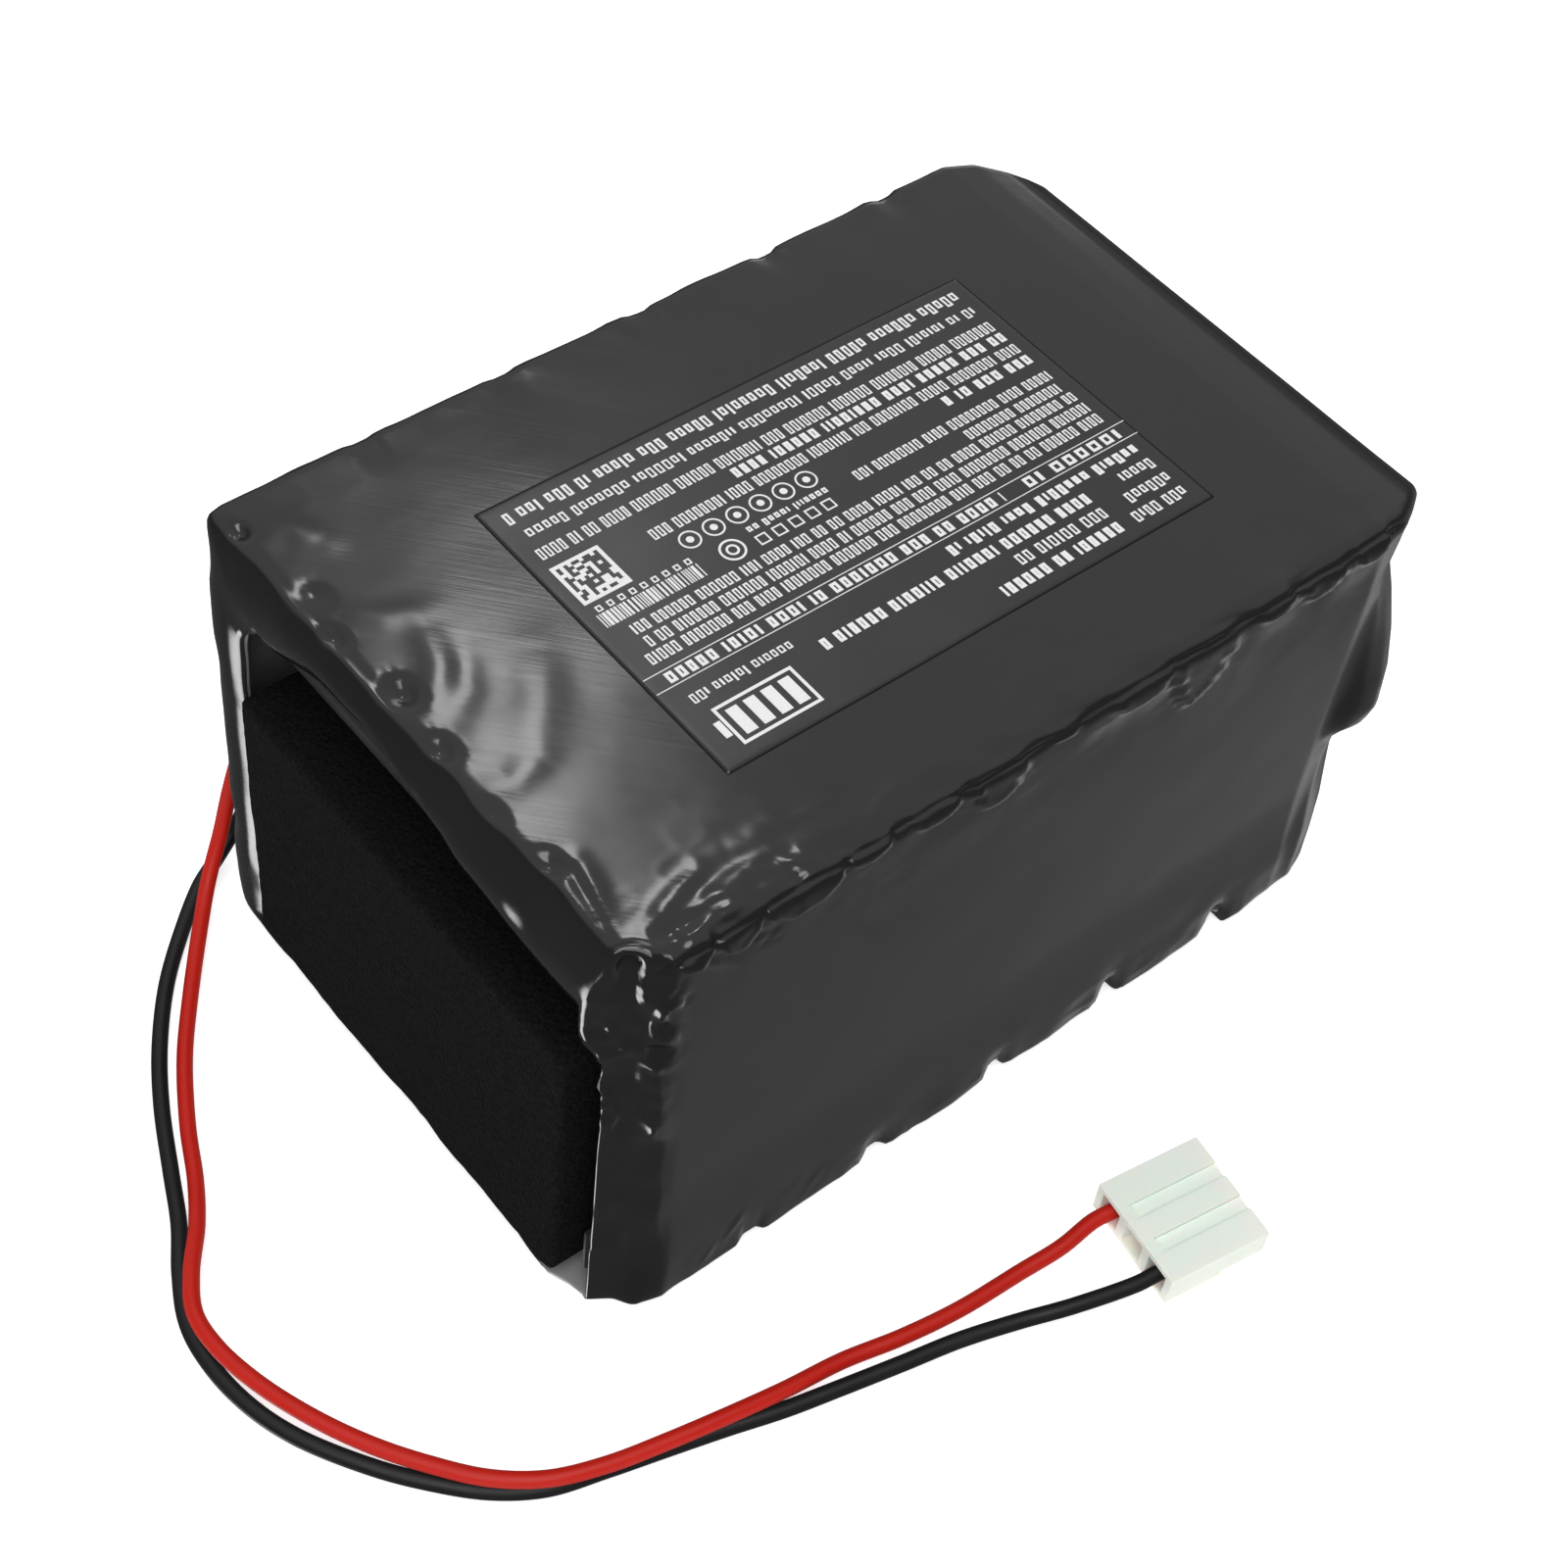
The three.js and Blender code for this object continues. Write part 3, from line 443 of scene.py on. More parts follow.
def fold(a, b, line, width, height, ripple=0.0):
    """A ridge (or a groove, if height is below 0) along a line on a face, whose places are a and b."""
    nearest = np.full(np.shape(a), 1e9)
    along = np.zeros(np.shape(a))
    run = 0.0
    total = sum(math.dist(p, q) for p, q in zip(line, line[1:]))
    for p, q in zip(line, line[1:]):
        length = math.dist(p, q)
        u = ((a - p[0]) * (q[0] - p[0]) + (b - p[1]) * (q[1] - p[1])) / length**2
        u = np.clip(u, 0, 1)
        away = np.hypot(a - p[0] - u * (q[0] - p[0]), b - p[1] - u * (q[1] - p[1]))
        along = np.where(away < nearest, run + u * length, along)
        nearest = np.minimum(nearest, away)
        run += length
    taper = np.sin(math.pi * np.clip(along / total, 0.06, 0.94))
    wave = 1 + ripple * np.sin(2 * math.pi * along / RIPPLE_PITCH)
    return height * np.exp(-((nearest / width) ** 2)) * taper**0.5 * wave


# Dents along the open end's top edge: x, y, depth, reach along x and y.
RIM_DENTS = (
    (1.3, 57.6, 0.7, 1.2, 1.6), (2.9, 46.6, 1.0, 1.6, 1.9), (1.6, 37.6, 0.9, 1.5, 1.8),
    (0.9, 27.0, 0.4, 1.2, 1.8), (1.8, 18.2, 0.7, 1.5, 1.7), (1.5, 77.2, 0.9, 1.1, 1.2),
    (2.8, 64.0, 0.35, 1.6, 1.8),
)
# Folds on the top face: line in x and y, width, height (below 0 for a groove), ripple if any.
TOP_FOLDS = (
    (((4.6, 17.0), (3.6, 13.0), (1.6, 8.6)), 1.3, 0.154, 0.07),
    (((14.4, 8.6), (10.5, 7.3), (7.2, 6.1), (4.6, 5.2)), 1.3, 0.168, 0.07),
    (((2.4, 1.9), (6.0, 2.7), (11.0, 4.3), (16.0, 5.4), (22.4, 5.9), (26.5, 4.6)), 1.1, 0.168),
    (((3.8, 0.8), (8.0, 1.5), (12.0, 2.9), (14.8, 2.5), (17.5, 0.9)), 0.9, 0.154),
    (((1.0, 20.5), (3.4, 16.2), (2.4, 11.5), (1.2, 6.4)), 0.8, -0.21),
    (((13.2, 5.0), (15.2, 3.8), (17.0, 4.1)), 0.8, 0.14),
    (((19.4, 4.7), (20.8, 3.4), (20.2, 2.0)), 0.8, 0.154),
    (((22.2, 4.4), (23.3, 3.2), (22.8, 1.6)), 0.8, 0.154),
    (((24.8, 4.0), (25.6, 2.6), (25.2, 1.2)), 0.8, 0.14),
    (((4.5, 44.0), (8.6, 47.5), (10.6, 54.0)), 1.9, 0.112),
    (((5.2, 40.0), (9.0, 43.0), (12.0, 48.5)), 1.9, -0.098),
    (((9.0, 31.0), (14.5, 37.0), (19.0, 44.0)), 2.8, 0.112),
    (((3.5, 61.0), (7.5, 57.0), (12.5, 55.5)), 1.8, 0.084),
    (((2.6, 76.5), (6.5, 74.5), (8.6, 70.5)), 2.2, 0.154),
    (((1.5, 31.0), (5.0, 29.0), (10.0, 30.5)), 1.8, 0.084),
    (((18.0, 9.0), (21.0, 8.0), (24.0, 8.8)), 1.6, 0.112),
)
# Hollows of the top face beside the front edge: x, y, depth, reach along x and y.
EDGE_HOLLOWS = (
    (22.4, 1.6, 0.8, 1.0, 1.1), (13.0, 1.0, 0.7, 2.0, 0.9), (8.5, 3.6, 0.6, 2.6, 0.9),
    (28.0, 2.2, 0.9, 2.4, 1.3), (34.0, 1.6, 0.5, 2.0, 1.0), (42.6, 2.3, 0.9, 2.8, 1.4),
    (52.0, 1.8, 0.8, 2.2, 1.2), (63.0, 1.2, 0.4, 2.4, 0.9), (74.0, 1.2, 0.5, 3.0, 0.9),
    (87.0, 1.2, 0.6, 3.0, 0.9), (100.0, 1.1, 0.4, 3.0, 0.8),
)
# Lobes of film folded down over the front face: middle x, half width, drop.
LOBES = (
    (7.5, 2.6, 3.2), (13.8, 3.0, 4.6), (22.4, 5.6, 4.4), (31.6, 3.4, 2.6), (41.4, 3.6, 3.2),
    (50.6, 3.7, 6.6), (60.5, 2.6, 2.2), (72.6, 4.6, 4.2), (83.0, 5.0, 9.6), (94.6, 3.2, 3.0),
    (103.0, 3.4, 4.4), (111.6, 3.0, 3.6),
)
# Thin creases on the front face: line in x and z, height (below 0 for a groove).
CREASE_WIDTH = 0.6
FRONT_FOLDS = (
    (((4.4, 71.4), (8.0, 69.6), (10.6, 67.6), (12.9, 65.6)), 0.225),
    (((7.6, 70.4), (11.0, 68.8), (13.4, 66.2)), -0.188),
    (((13.6, 69.2), (16.6, 70.5), (15.0, 68.4), (18.6, 67.4), (17.2, 66.2), (19.2, 65.4)), -0.21),
    (((4.4, 67.4), (6.0, 67.8), (4.8, 65.6), (7.0, 64.4), (6.0, 62.4), (7.4, 61.8)), -0.21),
    (((1.2, 33.8), (2.2, 31.2), (1.9, 29.0)), 0.225),
    (((0.8, 21.0), (2.0, 23.6), (2.6, 25.4)), 0.188),
    (((16.6, 4.4), (19.6, 8.6)), 0.165),
    (((13.0, 2.6), (15.6, 5.8)), 0.135),
    (((29.0, 2.6), (32.0, 6.2)), 0.105),
    (((44.8, 0.6), (45.8, 3.2)), 0.225),
    (((78.2, 72.0), (78.4, 69.6)), 0.225),
    (((88.2, 71.6), (87.8, 66.0)), 0.15),
    (((98.6, 71.8), (98.8, 69.8)), 0.188),
    (((107.2, 71.8), (107.4, 69.8)), 0.188),
)
# Notches of the front bottom edge between rows of cells: x, depth.
NOTCHES = ((21.2, 1.1), (41.6, 1.2), (62.4, 1.7), (82.8, 2.7), (103.2, 2.6))
# The pocket at the top of the open end's front edge: middle and reach, along x and y, and depth.
POCKET = (0.6, 2.9)
POCKET_REACH = (1.9, 1.5)
POCKET_DEPTH = 2.0
# The deepest dent that the insulation boards under the film leave room for.
BOARD_DENT = 0.22


def relief(x, y, z, n):
    """How far the shrunk film stands out of its plain shape, in mm, at a point with the outward normal n."""
    up = step(n[..., 2], 0.3, 0.9)
    front = step(-n[..., 1], 0.3, 0.9)
    near = step(-n[..., 0], 0.2, 0.9)
    drop = HEIGHT - z
    back = WIDTH - y

    flat = (0.10 - 0.05 * front) * noise(x, y, z, 19, 1) + 0.02 * noise(x, y, z, 8, 2)
    side = np.minimum(y, back)
    edge = np.exp(-np.clip(drop + side, 0, 30) / 5) + np.exp(-np.clip(z + side, 0, 30) / 5)
    quiet = 1 - 0.75 * step(y, 60, 74) * up
    h = flat + quiet * edge * (0.35 * noise(x, y, z, 6, 3) + 0.10 * crease(x, y, z, 3.6, 4))

    # Lumps and dents at the open end.
    open_end = np.exp(-np.clip(x, 0, None) / 12)
    h = h + up * open_end * (0.07 * noise(x, y, z, 10, 5) + 0.015 * noise(x, y, z, 4, 6))
    for cx, cy, depth, rx, ry in RIM_DENTS:
        away = np.hypot((x - cx) / rx, (y - cy) / ry)
        angle = np.arctan2(y - cy, x - cx)
        collar = bump(away, 1.45, 0.4) * np.exp(-drop / 4)
        pleats = 0.07 + 0.03 * np.sin(14 * angle + 2 * noise(x, y, z, 2, 16))
        h = h - depth * np.exp(-(away**2)) * np.exp(-drop / 5)
        h = h + collar * step(x, cx - 0.5, cx + 0.8) * depth * pleats
    for top_fold in TOP_FOLDS:
        h = h + up * fold(x, y, *top_fold)

    # The crease and puckers of the front top edge.
    corner = drop - y
    wander = 0.5 * noise(x, 0, 0, 9, 7) + 0.2 * noise(x, 0, 0, 3, 8)
    past = step(x, 2.5, 5) * (1 - step(x, 115, 120))
    deep = 0.55 + 0.35 * noise(x, 0, 0, 7, 17)
    valley = np.exp(-np.abs(corner - 0.35 - wander) / 0.42)
    h = h - past * deep * valley * np.exp(-(np.minimum(drop, y) / 3) ** 2)
    pucker = np.exp(-np.clip(x - 20, 0, None) / 10) * 0.16 + 0.06
    crumpled = crease(x * 1.4, 0.5 * y, 0.5 * z, 3.4, 9)
    h = h + past * pucker * crumpled * bump(corner, -1.5, 3.0) * np.exp(-drop / 2)
    for cx, cy, depth, rx, ry in EDGE_HOLLOWS:
        h = h - 0.6 * up * depth * bump(x, cx, rx) * bump(y, cy, ry)
    for cx, half, reach in LOBES:
        round_edge = reach * np.sqrt(np.clip(1 - ((x - cx) / half) ** 2, 0, 1))
        edge_at = round_edge * (1 + 0.12 * noise(x, 0, 0, 1.7, 10))
        on = step(edge_at - drop, -0.35, 0.35) * (np.abs(x - cx) < half)
        h = h + front * on * (0.38 + 0.25 * bump(drop, edge_at - 0.8, 0.8))
    for line, height in FRONT_FOLDS:
        h = h + front * fold(x, z, line, CREASE_WIDTH, height)

    # The crumpled strip down the open end's front edge, and the pocket at its top.
    strip = front * (1 - step(x, 4.5, 7)) * step(z, 36, 42) * (1 - step(z, 64, 69))
    h = h + strip * 0.45 * crease(x, y, z, 2.6, 11)
    h = h + front * (1 - step(x, 5, 8)) * 0.25 * noise(x, y, z, 9, 12)
    pocket = np.hypot((x - POCKET[0]) / POCKET_REACH[0], (y - POCKET[1]) / POCKET_REACH[1])
    h = h - POCKET_DEPTH * (1 - step(pocket, 0.55, 1.15)) * np.exp(-drop / 4)
    h = h + 0.4 * bump(pocket, 1.5, 0.35) * np.exp(-drop / 4)

    # The lip at the open end.
    h = h + near * 0.35 * noise(x, y, z, 6, 13)

    # The insulation boards lie close under the film.
    over_top = up * step(y, 2.2, 4) * step(back, 2.2, 4)
    over_front = front * step(z, 8, 12) * step(drop, 9, 12)
    over_board = step(x, 19, 23) * (1 - step(x, 116, 120)) * np.maximum(over_top, over_front)
    return np.where(h < 0, h * (1 - over_board) + np.maximum(h, -BOARD_DENT) * over_board, h)


# Heat-shrink sleeve: x, then how far the front, back, top and bottom draw in.
SLEEVE_STATIONS = np.array([
    (-1.0, 8.2, 8.8, 7.0, 3.0), (-1.5, 7.8, 7.2, 6.0, 2.4), (-1.9, 7.2, 5.4, 4.8, 1.9),
    (-1.7, 6.4, 3.4, 3.0, 1.2), (-0.8, 5.6, 1.5, 1.2, 0.6), (0.1, 4.6, 0.5, 0.15, 0.35),
    (2.0, 3.0, 0.05, 0.0, 0.1), (5.4, 0.25, 0.0, 0.0, 0.0), (7.5, 0.0, 0.0, 0.0, 0.0),
    (114.0, 0.0, 0.0, 0.0, 0.0), (118.0, 0.7, 1.6, 0.25, 0.0), (121.0, 2.4, 4.4, 0.75, 0.2),
    (123.2, 3.8, 6.6, 1.5, 0.5), (125.2, 5.0, 8.0, 2.7, 1.2), (126.3, 6.4, 9.4, 4.4, 2.2),
    (126.7, 8.4, 11.0, 6.4, 3.2),
])
# Corner radii: front top, back top, and both at the floor.
CORNER = 2.5
BACK_CORNER = 1.4
FOOT_CORNER = 1.5
# How far the film stands out along the back, and along the front near the floor.
BACK_BULGE = 0.8
FOOT_BULGE = 0.8
# How much further the strip beside the open end's front corner is cut back, and how far that is felt.
STRIP_CUT = 4.3
STRIP_REACH = 11.0
# The slit that the leads leave by, in the back wall: its start and length along x, top and foot.
SLIT_X = 8.8
SLIT_LENGTH = 3.2
SLIT_TOP = 32.8
SLIT_FOOT = 25.6
# How far the lip hangs down at the open end's top, by y.
HANG_Y = [0, 10, 14, 20, 27, 33, 41, 50, 59, 66, 72, 78, 82]
HANG = [12.4, 12.4, 12.2, 11.2, 10.6, 9.0, 7.2, 5.6, 5.7, 6.2, 7.4, 9.4, 9.8]


def spread(*runs):
    """Places along a line: each run is (start, end, spacing)."""
    places = []
    for start, end, spacing in runs:
        count = max(2, 2 * round((end - start) / spacing / 2))
        places.extend(np.linspace(start, end, count, endpoint=False))
    return np.array(places)


# Distances along the film at the stations, and at fine steps, where corners are rounded over so many steps.
station_steps = np.hypot(*np.diff(SLEEVE_STATIONS[:, :2], axis=0).T)
station_run = np.concatenate([[0], np.cumsum(station_steps)])
FINE_STEP = 0.05
ROUNDING = 0.32
REACH = 14
fine_run = np.arange(0, station_run[-1], FINE_STEP)
kernel = np.exp(-((np.arange(-REACH, REACH + 1) * FINE_STEP / ROUNDING) ** 2))
kernel /= kernel.sum()


def rounded(values):
    """The values with their corners rounded, mirrored past both ends so that the ends stay put."""
    before = 2 * values[0] - values[REACH:0:-1]
    after = 2 * values[-1] - values[-2 : -REACH - 2 : -1]
    return np.convolve(np.concatenate([before, values, after]), kernel, "valid")


fine_values = [rounded(np.interp(fine_run, station_run, column)) for column in SLEEVE_STATIONS.T]


def station(run, which):
    """A column of the stations at distances along the film."""
    return np.interp(run, fine_run, fine_values[which])


# How far the crumpled strip's boundary shifts along the film, by height.
JAG_Z = [
    0, 3, 8, 15, 20, 34, 37, 39, 40.5, 42, 45, 46, 48,
    49, 51, 53, 54, 56, 58, 60, 62, 65, 67, 70, 73,
]
JAG = [
    -1.5, -1.2, 0.4, 0.9, 0.5, 0.3, 0.2, -1.4, -2.8, -3.0, -0.6, -2.0, -0.9,
    -1.9, -1.2, -2.6, 0.2, 0.6, -0.6, -0.3, -1.6, -2.2, -0.5, -0.4, 0,
]
# How far the far end's front corner flares out, by height.
FLARE_Z = [0, 3, 12, 20, 27, 31.5, 34.4, 37.5, 42, 48, 54, 58, 62, 65, 69, 73]
FLARE = [0.9, 1.5, 1.5, 0.8, 0.3, 0.9, 4.4, 5.2, 4.8, 3.4, 1.4, -0.3, -1.0, -0.5, 0.2, 0.4]

# The grid goes round the sleeve in eight segments: front wall, front top corner, top, back top corner,
# back wall, back foot corner, bottom, front foot corner.
SIDE_RUN = HEIGHT - 2 * CORNER
TOP_RUN = WIDTH - 2 * CORNER
ARC = CORNER * math.pi / 2
ends_at = np.cumsum([SIDE_RUN, ARC, TOP_RUN, ARC, SIDE_RUN, ARC, TOP_RUN, ARC])
around = spread(
    (0, 8, 0.5), (8, 48, 0.95), (48, 60, 0.55), (60, ends_at[0], 0.38),
    (ends_at[0], ends_at[1], 0.3), (ends_at[1], ends_at[1] + 9, 0.36),
    (ends_at[1] + 9, ends_at[1] + 20, 0.55), (ends_at[1] + 20, ends_at[2] - 10, 0.75),
    (ends_at[2] - 10, ends_at[3], 0.55), (ends_at[3], ends_at[4], 1.7),
    (ends_at[4], ends_at[5], 0.8), (ends_at[5], ends_at[6] - 8, 2.2),
    (ends_at[6] - 8, ends_at[6], 0.9), (ends_at[6], ends_at[7], 0.45),
)
slit_run = float(np.interp(SLIT_X, SLEEVE_STATIONS[:, 0][1:], station_run[1:]))
lengthwise = spread(
    (0, 13, 0.42), (13, slit_run, 0.42), (slit_run, slit_run + SLIT_LENGTH, 0.42),
    (slit_run + SLIT_LENGTH, 28, 0.42), (28, 42, 0.55), (42, 60, 0.8), (60, 114, 1.1),
    (114, station_run[-1] - FINE_STEP, 0.55),
)
lengthwise = np.append(lengthwise, station_run[-1] - FINE_STEP)
# The inner film has every second point, so the rows are odd in number and the columns even.
if len(lengthwise) % 2 == 0:
    lengthwise = np.delete(lengthwise, -2)
if len(around) % 2:
    around = np.delete(around, -1)


def grid_normals(points):
    """Outward normals of a grid of points, rows along the pack and columns round it."""
    down = np.gradient(points, axis=0)
    wrapped = np.concatenate([points[:, -1:], points, points[:, :1]], axis=1)
    across = wrapped[:, 2:] - wrapped[:, :-2]
    n = np.cross(down, across)
    return n / np.maximum(np.linalg.norm(n, axis=2, keepdims=True), 1e-9)


def plain_sleeve():
    """The film's outer surface before it is shrunk on, as rows along the pack and columns round it."""
    run, place = np.meshgrid(lengthwise, around, indexing="ij")
    segment = np.searchsorted(ends_at, place, side="right")
    starts = np.concatenate([[0], ends_at])
    share = (place - starts[segment]) / (ends_at[segment] - starts[segment])
    front_parts = [segment == 0, segment == 1, segment == 7]
    level = np.select(front_parts, [CORNER + share * SIDE_RUN, HEIGHT, 0.0], -1.0)
    on_front = level >= 0
    jag = np.interp(level, JAG_Z, JAG) + 0.35 * noise(level, 0, 0, 1.3, 20)
    window = on_front * step(run, 5.5, 9) * (1 - step(run, 12.5, 16))
    shifted = run - np.where(on_front, jag, 0) * window
    # The strip beside the open end's front corner is cut further back than the lip, and reaches the floor.
    cut_parts = [segment == 0, segment == 6, segment == 7]
    strip = np.select(cut_parts, [1 - step(share, 0.86, 1.0), step(share, 0.9, 1.0), 1.0], 0.0)
    foot_share = np.select(cut_parts, [1 - step(share, 0.0, 0.3), step(share, 0.8, 0.95), 1.0], 0.0)
    near_run = STRIP_CUT + run * (1 - STRIP_CUT / STRIP_REACH)
    run_there = np.where(run < STRIP_REACH, run + strip * (near_run - run), run)
    x = station(run_there, 0)
    front = station(shifted + run_there - run, 1)
    back = station(run, 2)
    top = station(run, 3)
    bottom = station(run, 4) * (1 - foot_share)
    flare = np.where(on_front, np.interp(level, FLARE_Z, FLARE), 0)
    front = front - flare * step(x, 114, 122.5)
    front = front - FOOT_BULGE * on_front * (1 - step(level, 2, 24)) * step(x, 4, 8)
    face_y = np.where(segment < 2, 8.0, np.where(segment == 2, CORNER + share * TOP_RUN, 78.0))
    lip = 1 - step(run, 0.0, 6.0)
    top = top + lip * (np.interp(face_y, HANG_Y, HANG) - SLEEVE_STATIONS[0, 3])
    front_top = np.maximum(CORNER - 0.22 * np.maximum(station(run, 1), 0), 0.6)
    back_top = BACK_CORNER + 4.5 * lip
    foot = FOOT_CORNER - 0.9 * lip * foot_share
    back = back - BACK_BULGE
    low, front_high, back_high = bottom + foot, HEIGHT - top - front_top, HEIGHT - top - back_top
    left, top_left = front + foot, front + front_top
    right, top_right = WIDTH - back - foot, WIDTH - back - back_top
    sweep = share * math.pi / 2
    c, s = np.cos(sweep), np.sin(sweep)
    y = np.choose(segment, [
        front,
        top_left - c * front_top,
        top_left + share * (top_right - top_left),
        top_right + s * back_top,
        WIDTH - back,
        right + c * foot,
        right - share * (right - left),
        left - s * foot,
    ])
    z = np.choose(segment, [
        low + share * (front_high - low),
        front_high + s * front_top,
        HEIGHT - top,
        back_high + c * back_top,
        back_high - share * (back_high - low),
        low - s * foot,
        bottom,
        low - c * foot,
    ])
    return np.stack([x, y, z], axis=2)


def shrunk_sleeve():
    """The film's outer surface with its folds, dents, notches and wandering free edge."""
    points = plain_sleeve()
    normals = grid_normals(points)
    x, y, z = points[..., 0], points[..., 1], points[..., 2]
    moved = points + normals * relief(x, y, z, normals)[..., None]
    # Notches between the rows of cells, along the front's bottom edge and less along the back's top edge.
    for cx, depth in NOTCHES:
        wide = step(x, cx - 2.5, cx - 0.7) * (1 - step(x, cx + 0.9, cx + 2.6))
        low = wide * np.exp(-((z / 4.5) ** 2)) * np.exp(-((y / 4.5) ** 2))
        moved[..., 2] += depth * low
        moved[..., 1] += 0.5 * depth * low
        high = wide * np.exp(-(((HEIGHT - z) / 4) ** 2)) * np.exp(-(((WIDTH - y) / 3.5) ** 2))
        moved[..., 1] -= 0.15 * depth * high
        moved[..., 2] -= 0.12 * depth * high
    # The lip's free edge wanders.
    free = 1 - step(lengthwise, 0, 4)[:, None]
    moved[..., 2] += free * 0.8 * noise(y, z, 0, 9, 14) * (z > HEIGHT / 2)
    moved[..., 1] += free * 0.9 * noise(y, z, 0, 8, 15) * ((z > 12) & (z < 60))
    moved[..., 2] = np.maximum(moved[..., 2], 0.02)
    return moved


def mesh_piece(name, points, faces, material, smooth=True):
    """A piece from points of the pack, in mm."""
    mesh = bpy.data.meshes.new(name)
    mesh.from_pydata([tuple(p) for p in in_frame(points)], [], faces)
    mesh.validate()
    mesh.update()
    if smooth:
        mesh.polygons.foreach_set("use_smooth", [True] * len(mesh.polygons))
    mesh.materials.append(material)
    piece = bpy.data.objects.new(name, mesh)
    bpy.context.scene.collection.objects.link(piece)
    return piece


def make_sleeve():
    """The sleeve as one closed film: outer and inner surface, joined at both mouths and round the slit."""
    outer = shrunk_sleeve()
    rows, columns = outer.shape[:2]
    inner = (outer - grid_normals(outer) * FILM)[::2, ::2]
    inner_rows, inner_columns = inner.shape[:2]
    outer_at = np.arange(rows * columns).reshape(rows, columns)
    inner_at = rows * columns + np.arange(inner_rows * inner_columns).reshape(inner_rows, inner_columns)
    # The slit in the back wall that the leads leave by, in even steps of the outer grid.
    r0 = int(np.argmin(np.abs(lengthwise - slit_run))) // 2 * 2
    r1 = int(np.argmin(np.abs(lengthwise - slit_run - SLIT_LENGTH))) // 2 * 2
    back_z = outer[r0, :, 2]
    on_back = np.where(outer[r0, :, 1] > WIDTH - 1.5)[0]
    c0 = int(on_back[np.argmin(np.abs(back_z[on_back] - SLIT_TOP))]) // 2 * 2
    c1 = int(on_back[np.argmin(np.abs(back_z[on_back] - SLIT_FOOT))]) // 2 * 2
    faces = []

    def skin(at, r0, r1, c0, c1, flip):
        """A surface that closes round the pack, but for the slit."""
        for i, j in np.ndindex(at.shape[0] - 1, at.shape[1]):
            if r0 <= i < r1 and c0 <= j < c1:
                continue
            k = (j + 1) % at.shape[1]
            a, b, c, d = at[i, j], at[i, k], at[i + 1, k], at[i + 1, j]
            faces.append((a, d, c, b) if flip else (a, b, c, d))

    skin(outer_at, r0, r1, c0, c1, False)
    first_inner = len(faces)
    skin(inner_at, r0 // 2, r1 // 2, c0 // 2, c1 // 2, True)
    last_inner = len(faces)

    def stitch(fine, coarse, flip):
        """Closes the film's cut edge, between a run of outer points and one of half as many inner points."""
        for m in range(len(coarse) - 1):
            a, b, c = fine[2 * m], fine[2 * m + 1], fine[2 * m + 2]
            d, e = coarse[m], coarse[m + 1]
            for face in ((a, d, b), (b, d, e), (b, e, c)):
                faces.append(face[::-1] if flip else face)

    for row, inner_row, flip in ((0, 0, False), (rows - 1, inner_rows - 1, True)):
        outer_loop = list(outer_at[row]) + [outer_at[row, 0]]
        inner_loop = list(inner_at[inner_row]) + [inner_at[inner_row, 0]]
        stitch(outer_loop, inner_loop, flip)
    stitch(outer_at[r0, c0 : c1 + 1], inner_at[r0 // 2, c0 // 2 : c1 // 2 + 1], True)
    stitch(outer_at[r1, c0 : c1 + 1], inner_at[r1 // 2, c0 // 2 : c1 // 2 + 1], False)
    stitch(outer_at[r0 : r1 + 1, c0], inner_at[r0 // 2 : r1 // 2 + 1, c0 // 2], False)
    stitch(outer_at[r0 : r1 + 1, c1], inner_at[r0 // 2 : r1 // 2 + 1, c1 // 2], True)
    points = np.concatenate([outer.reshape(-1, 3), inner.reshape(-1, 3)])
    faces = [tuple(int(v) for v in face[::-1]) for face in faces]
    piece = mesh_piece("shrunk_sleeve", points, faces, film)
    # The inner faces and the cut edge wear the light grey inner material: painted light on the black film's
    # inner face.
    piece.data.materials.append(film_inside_painted_light)
    for face in piece.data.polygons[first_inner:]:
        face.material_index = 1
    for face in piece.data.polygons[last_inner:]:
        face.use_smooth = False
    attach(piece, "root")
    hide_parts("heat_shrink_sleeve")


make_sleeve()


# Label.
def film_top(x, y):
    """The height of the film's top at places on the pack."""
    x, y = np.asarray(x, float), np.asarray(y, float)
    z = np.full(np.shape(x), HEIGHT)
    n = np.broadcast_to((0.0, 0.0, 1.0), (*np.shape(x), 3))
    return z + relief(x, y, z, n)


# The label's start and end in x, then in y.
LABEL = (24.9, 100.1, 16.7, 64.2)
LABEL_LIFT = 0.06
LABEL_THICKNESS = 0.08
LABEL_GRID = (150, 96)


def make_label():
    x0, x1, y0, y1 = LABEL
    nx, ny = LABEL_GRID
    gx, gy = np.meshgrid(np.linspace(x0, x1, nx), np.linspace(y0, y1, ny), indexing="ij")
    base = film_top(gx, gy) + LABEL_LIFT
    rim = np.minimum.reduce([gx - x0, x1 - gx, gy - y0, y1 - gy])
    lifted = base + LABEL_THICKNESS * (0.45 + 0.55 * step(rim, 0, 0.3))
    upper = np.stack([gx, gy, lifted], axis=2).reshape(-1, 3)
    lower = np.stack([gx, gy, base], axis=2).reshape(-1, 3)
    at = np.arange(nx * ny).reshape(nx, ny)
    faces = []
    for i, j in np.ndindex(nx - 1, ny - 1):
        quad = (at[i, j], at[i + 1, j], at[i + 1, j + 1], at[i, j + 1])
        faces.append(tuple(int(v) for v in quad))
        faces.append(tuple(int(v) + nx * ny for v in quad[::-1]))
    loop = list(at[:, 0]) + list(at[-1, 1:]) + list(at[-2::-1, -1]) + list(at[0, -2:0:-1])
    for a, b in zip(loop, loop[1:] + loop[:1]):
        faces.append((int(b), int(a), int(a) + nx * ny, int(b) + nx * ny))
    piece = mesh_piece("label_film", np.concatenate([upper, lower]), faces, label_film)
    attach(piece, "root")
    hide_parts("rating_label")


make_label()

